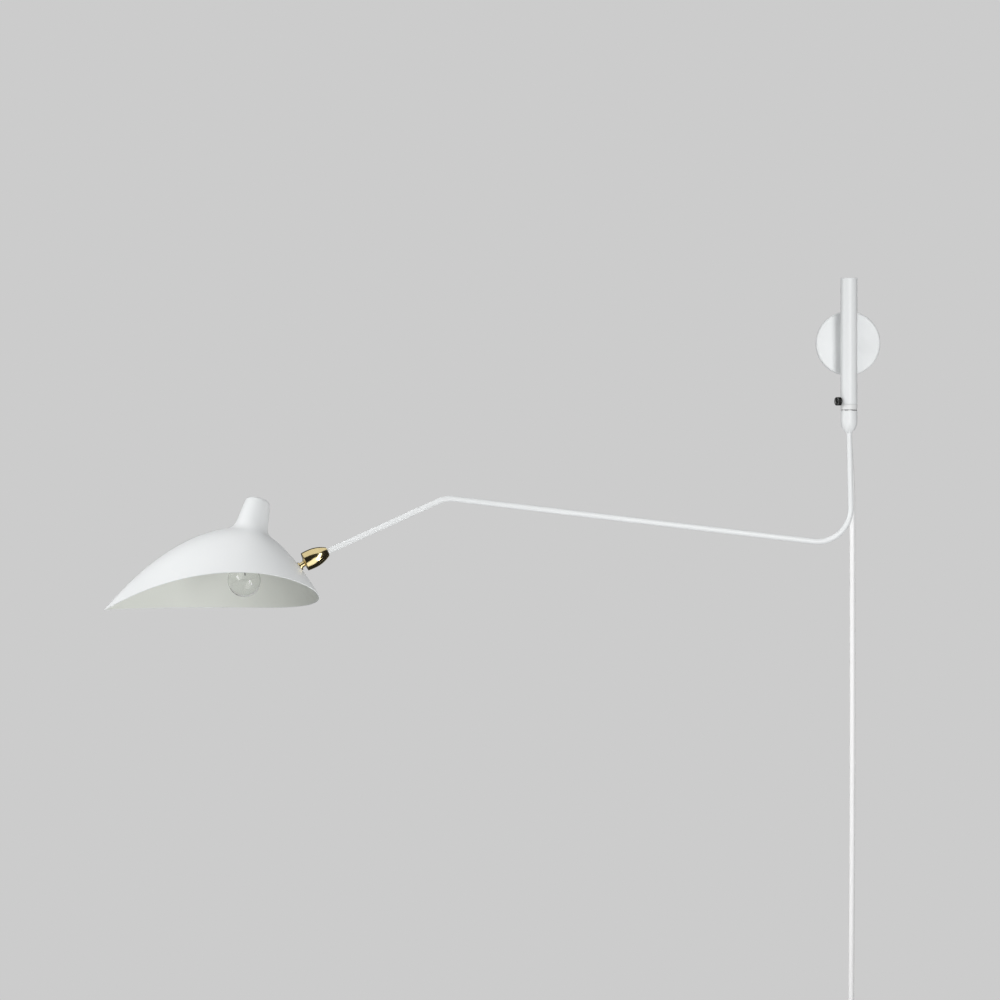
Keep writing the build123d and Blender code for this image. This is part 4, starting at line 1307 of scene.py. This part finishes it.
    def chimney(self) -> bpy.types.Object:
        """A hollow cone with a rounded top that flows out into the crown.

        At each angle the side is a straight line down to a little above the crown, then a curve over
        three points: one on the line, the one where the line meets the crown's face and one on the face.

        Returns:
            The chimney.
        """
        sides = self.chimney_sides
        angle = round_angles(sides)
        ray = np.stack([np.cos(angle), np.sin(angle)], axis=1)
        foot = np.zeros(sides)
        for _ in range(self.landing_steps):
            foot = self.land(ray * self.side_radius(foot)[:, None], foot)
        radius = self.side_radius(foot)
        above, spread = foot + self.chimney_blend, radius + self.chimney_blend
        out = self.land(ray * spread[:, None], foot)
        t = np.linspace(0.0, 1.0, self.chimney_blend_rows)[:, None]
        flow = (bowed(t, spread, radius, self.side_radius(above)), bowed(t, out, foot, above))
        top, edge = self.chimney_height, self.chimney_edge
        shoulder, flat, under = top - edge, self.chimney_side - edge, top - self.sheet
        room = np.array([[0.0, under], [flat, under], [self.chimney_side - self.sheet, shoulder]])
        lean_in = math.degrees(math.atan(self.chimney_slope))
        bend = arc((flat, shoulder), edge, lean_in, 90.0, self.chimney_edge_rows)
        cap = np.concatenate([bend, [[self.flat_ring * flat, top], [0.0, top]]])
        inner = radius - self.sheet
        level = self.land(ray * inner[:, None], foot)
        rows = ((room[:, [axis]], cap[:, [axis]]) for axis in (0, 1))
        reach, height = (
            np.concatenate([np.tile(first, sides), within[None], blend, np.tile(last, sides)])
            for (first, last), within, blend in zip(rows, (inner, level), flow)
        )
        grid = np.stack([reach * np.cos(angle), reach * np.sin(angle), height], axis=2)
        return grid_piece("chimney_cap", self.chimney_axes().place(grid))

    def holder(self) -> bpy.types.Object:
        """The lampholder's sleeve: straight, with shallow rings round it and a rounded mouth.

        Returns:
            The sleeve.
        """
        mouth, r, bore, ease = self.holder_mouth, self.holder_radius, self.holder_bore, self.holder_round
        back = (self.crown - self.bulb_at[1]) / math.cos(self.lean) + self.holder_back
        floor = back - self.holder_depth
        side = np.linspace(mouth + 2 * ease, back - 2 * ease, self.holder_rows)
        share = (side - side[0]) / (side[-1] - side[0])
        wave = self.holder_rib_depth * np.sin(np.pi * self.holder_ribs * share) ** 2
        ribs = np.stack([r - wave, side], axis=1)
        inside = [(0.0, floor, 0.0), (bore, floor, 0.0), (bore, mouth, ease / 2), (r, mouth, ease)]
        foot = rounded([*inside, (r, back, 0.0)])[:-1]
        head = rounded([(r, mouth, 0.0), (r, back, ease), (0.0, back, 0.0)])[1:]
        return turned("holder_sleeve", np.concatenate([foot, ribs, head]), lamp_axes())

    def build(self) -> None:
        """Make the shade's pieces and dress them."""
        dress(self.sheet_piece(), Body.SHADE_HEAD, self.finishes.enamel, "shade")
        dress(self.chimney(), Body.SHADE_HEAD, self.finishes.enamel, "chimney")
        dress(self.holder(), Body.SHADE_HEAD, self.finishes.ceramic, "holder_body")


@dataclass
class Bulb(SubAssembly):
    """A clear round bulb: blown glass, rolled screw cap, glass stem and a coiled filament."""

    radius: float = 0.0205
    wall: float = 0.0008
    ball_rows: int = 44
    shoulder_degrees: float = 52.0
    flare_rows: int = 14
    neck_radius: float = 0.0062
    neck_top: float = 0.0362
    cap_radius: float = 0.00675
    cap_foot: float = 0.0300
    cap_top: float = 0.0510
    cap_rows: int = 90
    cap_sides: int = 72
    thread_pitch: float = 0.0028
    thread_depth: float = 0.00045
    thread_fade: float = 0.003
    stem_radius: float = 0.0026
    stem_tip: float = 0.0140
    stem_sides: int = 48
    stem_bead: float = 0.9
    bead_round: float = 0.0012
    stem_waist: float = 0.7
    waist_up: float = 0.006
    waist_round: float = 0.002
    swell_up: float = 0.012
    swell_round: float = 0.003
    filament_level: float = 0.0080
    filament_half: float = 0.0060
    filament_radius: float = 0.0007
    filament_turns: int = 22
    rows_a_turn: int = 14
    wire_radius: float = 0.00022
    wire_sides: int = 8
    helix_sides: int = 6
    support_rows: int = 12
    # Points of a support wire: a share of the stem's radius, and a height over the stem's tip
    support_foot: tuple[float, float] = (0.5, 0.002)
    support_bend: tuple[float, float] = (1.2, -0.004)

    def glass_face(self, radius: float, neck: float) -> Array:
        """One face of the glass: a ball, an arc through the shoulder and a straight neck.

        Args:
            radius: the ball's radius.
            neck: the neck's radius.

        Returns:
            The outline from the bottom pole up.
        """
        ball = arc((0.0, 0.0), radius, -90.0, self.shoulder_degrees, self.ball_rows)
        turn = math.radians(self.shoulder_degrees)
        start = ball[-1]
        heading = np.array([-math.sin(turn), math.cos(turn)])
        normal = np.array([math.cos(turn), math.sin(turn)])
        chord = np.array([neck, self.cap_foot]) - start
        flare = np.dot(chord, chord) / (2 * np.dot(chord, normal))
        centre = start + normal * flare
        swing = 2 * math.atan2(np.dot(chord, normal), np.dot(chord, heading))
        steps = np.linspace(0.0, swing, self.flare_rows)[1:, None]
        flared = centre - normal * flare * np.cos(steps) + heading * flare * np.sin(steps)
        return np.concatenate([ball, flared, [[neck, self.neck_top]]])

    def glass(self) -> bpy.types.Object:
        """The glass, its outer face and its inner one a wall's thickness in, as one closed skin.

        Returns:
            The glass.
        """
        outer = self.glass_face(self.radius, self.neck_radius)
        inner = self.glass_face(self.radius - self.wall, self.neck_radius - self.wall)
        return turned("bulb_envelope", np.concatenate([outer, inner[::-1]]), lamp_axes())

    def cap(self) -> bpy.types.Object:
        """The cap: its radius waves with height and angle together, so the crest climbs as a thread.

        Returns:
            The cap.
        """
        levels = np.linspace(self.cap_foot, self.cap_top, self.cap_rows)
        outer = np.stack([np.full_like(levels, self.cap_radius), levels], axis=1)
        ends = (levels - levels[0], levels[-1] - levels)
        fade_in, fade_out = (np.clip(end / self.thread_fade, 0, 1) for end in ends)
        fade = fade_in * fade_out
        angle = round_angles(self.cap_sides)
        wave = np.cos(2 * np.pi * levels[:, None] / self.thread_pitch - angle) - 1
        ripple = self.thread_depth * fade[:, None] * wave / 2
        inner = [(self.neck_radius, self.cap_top), (self.neck_radius, self.cap_foot)]
        outline = np.concatenate([outer, inner])
        ripple = np.concatenate([ripple, np.zeros((len(inner), self.cap_sides))])
        return turned("bulb_screw_cap", outline, lamp_axes(), self.cap_sides, ripple)

    def stem(self) -> bpy.types.Object:
        """The glass stem: a rod with a flattened bead at its tip that the wires come out of.

        Returns:
            The stem.
        """
        outline = rounded(
            [
                (0.0, self.stem_tip, 0.0),
                (self.stem_radius * self.stem_bead, self.stem_tip, self.bead_round),
                (self.stem_radius * self.stem_waist, self.stem_tip + self.waist_up, self.waist_round),
                (self.stem_radius, self.stem_tip + self.swell_up, self.swell_round),
                (self.neck_radius - 2 * self.wall, self.neck_top, 0.0),
                (0.0, self.neck_top, 0.0),
            ]
        )
        return turned("bulb_stem", outline, lamp_axes(), self.stem_sides)

    def strand(self, name: str, path: Array, sides: int) -> bpy.types.Object:
        """A round wire; each ring starts square to the heading and to a line that no heading follows.

        Args:
            name: the piece's name.
            path: the wire's middle line, in the lamp's axes.
            sides: columns round the wire.

        Returns:
            The wire.
        """
        line = np.array([1.0, 0.17, 0.05])
        side = unit(np.cross(headings(path), line))
        grid = swept(path, self.wire_radius, side, sides)
        return grid_piece(name, lamp_axes().place(grid), capped=True)

    def filament(self) -> bpy.types.Object:
        """Two support wires and between their tips a helix: turns of one radius about a level line.

        Returns:
            The wires as one piece.
        """
        half, level, radius = self.filament_half, self.filament_level, self.filament_radius
        t = np.linspace(0.0, 1.0, self.support_rows)[:, None]
        pieces = []
        for side in (-1.0, 1.0):
            foot, bend = (
                np.array([0.0, side * self.stem_radius * out, self.stem_tip + up])
                for out, up in (self.support_foot, self.support_bend)
            )
            path = bowed(t, foot, bend, np.array([0.0, side * half, level]))
            pieces.append(self.strand(f"support_{int(side)}", path, self.wire_sides))
        s = np.linspace(0.0, 1.0, self.filament_turns * self.rows_a_turn + 1)
        turn = 2 * np.pi * self.filament_turns * s
        helix = [radius * np.cos(turn), half * (2 * s - 1), level + radius * np.sin(turn)]
        pieces.append(self.strand("helix", np.stack(helix, axis=1), self.helix_sides))
        return joined("bulb_filament", pieces)

    def build(self) -> None:
        """Make the bulb's pieces and dress them."""
        dress(self.glass(), Body.BULB, self.finishes.glass, "bulb_glass")
        dress(self.cap(), Body.BULB, self.finishes.cap_metal, "bulb_cap")
        dress(self.filament(), Body.BULB, self.finishes.tungsten, "filament")
        dress(self.stem(), Body.BULB, self.finishes.glass)


@dataclass
class MainsCord(SubAssembly):
    """The cord from the canopy to its plug: a hanging drop, a tied coil and a short tail."""

    radius: float = 0.0035
    depth: float = -0.0100
    exit_level: float = -0.06815
    coil_middle: tuple[float, float] = (0.0025, -0.9350)
    coil_radius: float = 0.0360
    coil_pitch: float = 0.0076
    coil_turns_per_layer: int = 2
    coil_climb_turns: float = 0.5
    points_per_turn: int = 16
    straight_end: float = 0.0070
    length: float = 1.838
    bends: tuple[tuple[float, float], ...] = (
        (0.0, 0.039),
        (0.0055, 0.126),
        (0.0058, 0.574),
        (0.0039, 0.951),
    )
    coil_entry: float = -0.8900
    tail_drop: float = 0.0200
    tail_run: float = 0.0250
    tail_sway: float = 0.0030
    rib_sharpness: float = 3.0
    gland_flange: float = 0.0075
    gland_flange_height: float = 0.0026
    gland_flange_round: float = 0.0007
    gland_seat_round: float = 0.0003
    gland_top: float = 0.0062
    gland_tip: float = 0.0046
    gland_seat: float = -0.04015
    gland_ribs: int = 6
    gland_rib_depth: float = 0.0006
    gland_plain_from: float = 0.97
    gland_rows: int = 120
    gland_sides: int = 64
    plug_boot: float = 0.0220
    plug_boot_tip: float = 0.0045
    plug_boot_radius: float = 0.0052
    boot_rows: int = 60
    boot_rib_pitch: float = 0.0042
    boot_rib_depth: float = 0.0005
    boot_plain_tip: float = 0.002
    boot_ribbed_share: float = 0.8
    plug_length: float = 0.0300
    plug_rows: int = 41
    plug_sides: int = 96
    plug_face: tuple[float, float] = (0.0070, 0.0175)
    swell_from: float = 0.9
    swell_power: float = 0.62
    oblong: float = 0.5
    oblong_after: float = 3.0
    plug_edge: float = 0.002
    plug_edge_inset: float = 0.0014

    def coil(self) -> Array:
        """The coil's control points.

        The radius shrinks by one pitch a turn over the back layer and grows again over the front
        one, and the middle half turn climbs a pitch forward along an eased step. Each point stands
        out by 1 / cos(half a step), so that the curve itself keeps the radius.

        Returns:
            The points.
        """
        layer = self.coil_turns_per_layer
        turn = np.arange(0, 2 * layer * self.points_per_turn + 1) / self.points_per_turn
        inward = np.where(turn <= layer, turn, 2 * layer - turn)
        radius = self.coil_radius + self.coil_pitch * layer / 2 - self.coil_pitch * inward
        radius = radius / math.cos(math.pi / self.points_per_turn)
        climb = np.clip((turn - layer) / self.coil_climb_turns + 0.5, 0.0, 1.0)
        depth = self.depth - self.coil_pitch * (3 - 2 * climb) * climb**2
        angle = -2 * np.pi * turn
        x = self.coil_middle[0] + radius * np.cos(angle)
        z = self.coil_middle[1] + radius * np.sin(angle)
        return np.stack([x, depth, z], axis=1)

    def route(self) -> Array:
        """The whole cord's control points, from the gland to the plug.

        A point is added on each long run, as far from its bend as the short run beside that bend is
        long, so that the curve keeps to the straight run.

        Returns:
            The points.
        """
        y, start, drop = self.depth, self.exit_level, self.coil_entry - self.exit_level
        outer = self.coil_middle[0] + self.coil_radius + self.coil_pitch * self.coil_turns_per_layer / 2
        first, second, third, last = (np.array([x, y, start + share * drop]) for x, share in self.bends)
        entry = np.array([outer, y, self.coil_entry])

        def along(bend: Array, towards: Array, like: Array) -> Array:
            """A point on the run from a bend, as far off as another point is."""
            run = towards - bend
            return bend + run * np.linalg.norm(like - bend) / np.linalg.norm(run)

        hang = [
            (0.0, y, start),
            first,
            second,
            along(second, third, first),
            third,
            along(last, third, entry),
            last,
            entry,
            (outer, y, self.coil_middle[1] + self.straight_end),
        ]
        front, end = y - self.coil_pitch, self.coil_middle[1] - self.straight_end
        tail = [
            (outer, front, end),
            (outer, front, end - self.tail_drop),
            (outer - self.tail_sway, front, end - self.tail_drop - self.tail_run),
        ]
        return np.concatenate([hang, self.coil(), tail])

    def cord(self) -> bpy.types.Object:
        """The cord as one smooth round curve over its control points.

        Returns:
            The cord.
        """
        points = self.route()
        curve = bpy.data.curves.new("mains_cord", "CURVE")
        curve.dimensions = "3D"
        curve.bevel_depth = self.radius
        curve.bevel_resolution = 6
        curve.use_fill_caps = True
        spline = curve.splines.new("NURBS")
        spline.points.add(len(points) - 1)
        weighted = np.concatenate([points, np.ones((len(points), 1))], axis=1)
        spline.points.foreach_set("co", weighted.ravel())
        spline.order_u = 3
        spline.use_endpoint_u = True
        spline.resolution_u = 8
        return stand("mains_cord", curve)

    def rib_gaps(self, phase: Array) -> Array:
        """From 0 on a rib to 1 in the gap after it: a sine of the phase, steepened and cut flat."""
        return (1 - np.clip(np.sin(phase) * self.rib_sharpness, -1, 1)) / 2

    def gland(self) -> bpy.types.Object:
        """The gland: a flange under the canopy and a tapering sleeve that dips at each rib's gap.

        Returns:
            The gland.
        """
        axes = Axes.on((0.0, self.depth, 0.0), UP, RIGHT)
        flange_foot = self.gland_seat - self.gland_flange_height
        levels = np.linspace(self.exit_level, flange_foot, self.gland_rows)
        share = (levels - levels[0]) / (levels[-1] - levels[0])
        taper = self.gland_tip + (self.gland_top - self.gland_tip) * share
        gaps = self.rib_gaps(np.pi * (2 * self.gland_ribs + 1) * share) * (share < self.gland_plain_from)
        sleeve = np.stack([taper - self.gland_rib_depth * gaps, levels], axis=1)
        flange = rounded(
            [
                (self.gland_top, flange_foot, 0.0),
                (self.gland_flange, flange_foot, self.gland_flange_round),
                (self.gland_flange, self.gland_seat, self.gland_seat_round),
                (0.0, self.gland_seat, 0.0),
            ]
        )
        outline = np.concatenate([[[0.0, self.exit_level]], sleeve, flange])
        return turned("cord_sleeve", outline, axes, self.gland_sides)

    def plug(self) -> bpy.types.Object:
        """The plug: one round section that swells along its length into a rounded oblong.

        At each station the section at an angle a is (half depth times |cos a|^p, half width times
        |sin a|^p) with their signs; p falls from 1, an ellipse, to 0.5, a rounded oblong. On the boot
        the size dips at each rib's gap, and at the end it draws in along a quarter round.

        Returns:
            The plug's body.
        """
        route = self.route()
        axes = Axes.on(route[-1], route[-1] - route[-2], INTO_WALL)
        boot_end, total = self.plug_boot, self.plug_boot + self.plug_length
        on_body = np.linspace(boot_end, total, self.plug_rows)[1:]
        s = np.concatenate([np.linspace(0.0, boot_end, self.boot_rows), on_body])
        swell_start = boot_end * self.swell_from
        body = np.clip((s - swell_start) / (total - swell_start), 0.0, 1.0)
        flare = self.plug_boot_radius - self.plug_boot_tip
        boot = self.plug_boot_tip + flare * np.clip(s / boot_end, 0, 1)
        ribbed = (s > self.boot_plain_tip) * (s < boot_end * self.boot_ribbed_share)
        boot = boot - self.boot_rib_depth * self.rib_gaps(2 * np.pi * s / self.boot_rib_pitch) * ribbed
        past = np.clip((s - (total - self.plug_edge)) / self.plug_edge, 0, 1)
        inset = self.plug_edge_inset * (1 - np.sqrt(np.clip(1 - past**2, 0, 1)))
        deep, wide = (boot + (half - boot) * body**self.swell_power - inset for half in self.plug_face)
        power = (1 - self.oblong * np.clip(body * self.oblong_after, 0, 1))[:, None]
        angle = round_angles(self.plug_sides)
        x, y = (
            half[:, None] * np.sign(wave) * np.abs(wave) ** power
            for half, wave in ((deep, np.cos(angle)), (wide, np.sin(angle)))
        )
        grid = np.stack([x, y, np.broadcast_to(s[:, None], x.shape)], axis=2)
        return grid_piece("plug_shell", axes.place(grid), capped=True)

    def build(self) -> None:
        cord = dress(
            self.cord(), Body.WALL_MOUNT, self.finishes.sheath, "cord_drop", "cord_coil", "cord_tail"
        )
        dress(self.gland(), Body.WALL_MOUNT, self.finishes.plastic, "cord_gland")
        plug = dress(self.plug(), Body.WALL_MOUNT, self.finishes.plastic, "plug_body")


@dataclass
class CarriedNodes(SubAssembly):
    """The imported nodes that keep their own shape, by finish."""

    painted: tuple[str, ...] = ("neck",)
    plated: tuple[str, ...] = (
        "back_plate",
        "canopy_screws",
        "neck_washer",
        "neck_nut",
        "spindle",
        "spindle_clip",
        "thrust_washer",
        "arm_collar",
        "spring_washer",
        "stud_washer",
        "stud_nut",
        "crown_ring",
        "holder_nipple",
        "terminal_screws",
    )
    nickelled: tuple[str, ...] = ("plug_pins",)
    brassy: tuple[str, ...] = ("holder_shell", "holder_contact", "bulb_contact")
    moulded: tuple[str, ...] = ("upper_bush", "ball_cup", "gland_nut", "terminal_block", "coil_tie")
    sheathed: tuple[str, ...] = ("pole_lead", "arm_lead", "shade_lead", "cord_inner")

    def build(self) -> None:
        """Give each node its finish."""
        groups = (
            (self.painted, self.finishes.enamel),
            (self.plated, self.finishes.steel),
            (self.nickelled, self.finishes.nickel),
            (self.brassy, self.finishes.brass),
            (self.moulded, self.finishes.plastic),
            (self.sheathed, self.finishes.sheath),
        )
        for names, finish in groups:
            for name in names:
                finish.cover(frame["nodes"][name])
                log.info("%s keeps its shape", name)


# The studio


@dataclass(frozen=True)
class Softbox:
    """A soft oblong light, turned to face a point."""

    name: str
    place: Point
    target: Point
    size: tuple[float, float]
    power: float
    spread: float = 180.0

    def build(self) -> None:
        """Hang the light in the studio."""
        light = bpy.data.lights.new(self.name, "AREA")
        light.shape = "RECTANGLE"
        light.size, light.size_y = self.size
        light.energy = self.power
        light.spread = math.radians(self.spread)
        lamp = stand(self.name, light)
        lamp.location = self.place
        aim = Vector(self.target) - Vector(self.place)
        lamp.rotation_euler = aim.to_track_quat("-Z", "Y").to_euler()


@dataclass
class Studio:
    """Pale floor, grey surround, soft lights and the portrait's camera."""

    backdrop: Point = (0.604, 0.604, 0.604)
    surround: Point = (0.15, 0.15, 0.15)
    reflected: Point = (0.02, 0.02, 0.02)
    floor_gap: float = 0.06
    floor_half: float = 4.0
    floor_colour: Point = (0.76, 0.76, 0.76)
    floor_dark: float = 0.97
    floor_patch_per_metre: float = 2.0
    floor_glow: float = 0.17
    camera_place: Point = (-0.4345, -12.0, -0.1955)
    camera_sight: float = 60.0
    lens: float = 345.6
    sensor: float = 36.0
    softboxes: tuple[Softbox, ...] = (
        Softbox("ceiling", (-1.30, -0.30, 2.60), (-1.30, -0.30, 0.0), (5.0, 5.0), 60.0),
        Softbox("low", (-0.31, -0.69, -0.635), (-0.70, -0.15, -0.29), (0.5, 0.95), 1.8),
        Softbox("window", (0.075, -0.66, -0.72), (-0.75, -0.145, -0.29), (0.14, 0.20), 0.075, 60.0),
        Softbox("side", (0.36, -1.35, -0.05), (0.0, -0.03, -0.12), (0.35, 1.6), 4.5, 110.0),
        Softbox("left", (-1.85, -0.50, 0.15), (-0.78, -0.15, -0.28), (0.8, 0.8), 1.6, 50.0),
        Softbox("rear", (-0.10, 1.60, -0.35), (-0.10, 0.0, -0.20), (1.8, 1.4), 2.8),
    )

    def floor(self) -> None:
        """A flat square below the lamp, lit a little from within and kept out of the metal."""
        low = CAD_LOW[2] - self.floor_gap
        half = self.floor_half
        corners = [(-half, -half, low), (half, -half, low), (half, half, low), (-half, half, low)]
        mesh = bpy.data.meshes.new("floor")
        mesh.from_pydata(corners, [], [(0, 1, 2, 3)])
        floor = stand("floor", mesh)
        nodes = Nodes.of("pale_floor")
        drift = nodes.noise(nodes.object_place(), self.floor_patch_per_metre, detail=2.0)
        darker = tuple(part * self.floor_dark for part in self.floor_colour)
        material = nodes.surface(
            Base_Color=nodes.blend(drift, darker, self.floor_colour),
            Roughness=0.85,
            Emission_Color=(1.0, 1.0, 1.0, 1.0),
            Emission_Strength=self.floor_glow,
        )
        mesh.materials.append(material)
        floor.visible_glossy = False

    def surroundings(self) -> None:
        """A plain grey behind the lamp, a dimmer one that lights it and a dark one seen in its metal."""
        nodes = Nodes(bpy.data.worlds.new("surround"), "ShaderNodeOutputWorld")
        path = nodes.make("ShaderNodeLightPath")
        unseen = nodes.blend(nodes.out(path, "Is Glossy Ray"), self.surround, self.reflected)
        colour = nodes.blend(nodes.out(path, "Is Camera Ray"), unseen, self.backdrop)
        bpy.context.scene.world = nodes.finish(nodes.make("ShaderNodeBackground", Color=colour))
        bpy.context.scene.view_settings.view_transform = "Standard"

    def camera(self) -> None:
        """A long lens square to the wall."""
        camera = bpy.data.cameras.new("portrait")
        camera.lens = self.lens
        camera.sensor_width = self.sensor
        camera.clip_end = self.camera_sight
        tripod = stand("portrait", camera)
        tripod.location = self.camera_place
        tripod.rotation_euler = (math.pi / 2, 0.0, 0.0)
        bpy.context.scene.camera = tripod

    def build(self) -> None:
        """Set up the whole studio."""
        self.floor()
        self.surroundings()
        for softbox in self.softboxes:
            softbox.build()
        self.camera()


def main() -> None:
    """Build the studio, then the lamp from the wall outwards."""
    logging.basicConfig(level=logging.INFO, format="%(message)s")
    Studio().build()
    finishes = Finishes()
    for part in (CarriedNodes, WallCanopy, Pole, Arm, Swivel, Visor, Bulb, MainsCord):
        part(finishes).build()


if __name__ == "__main__":
    main()
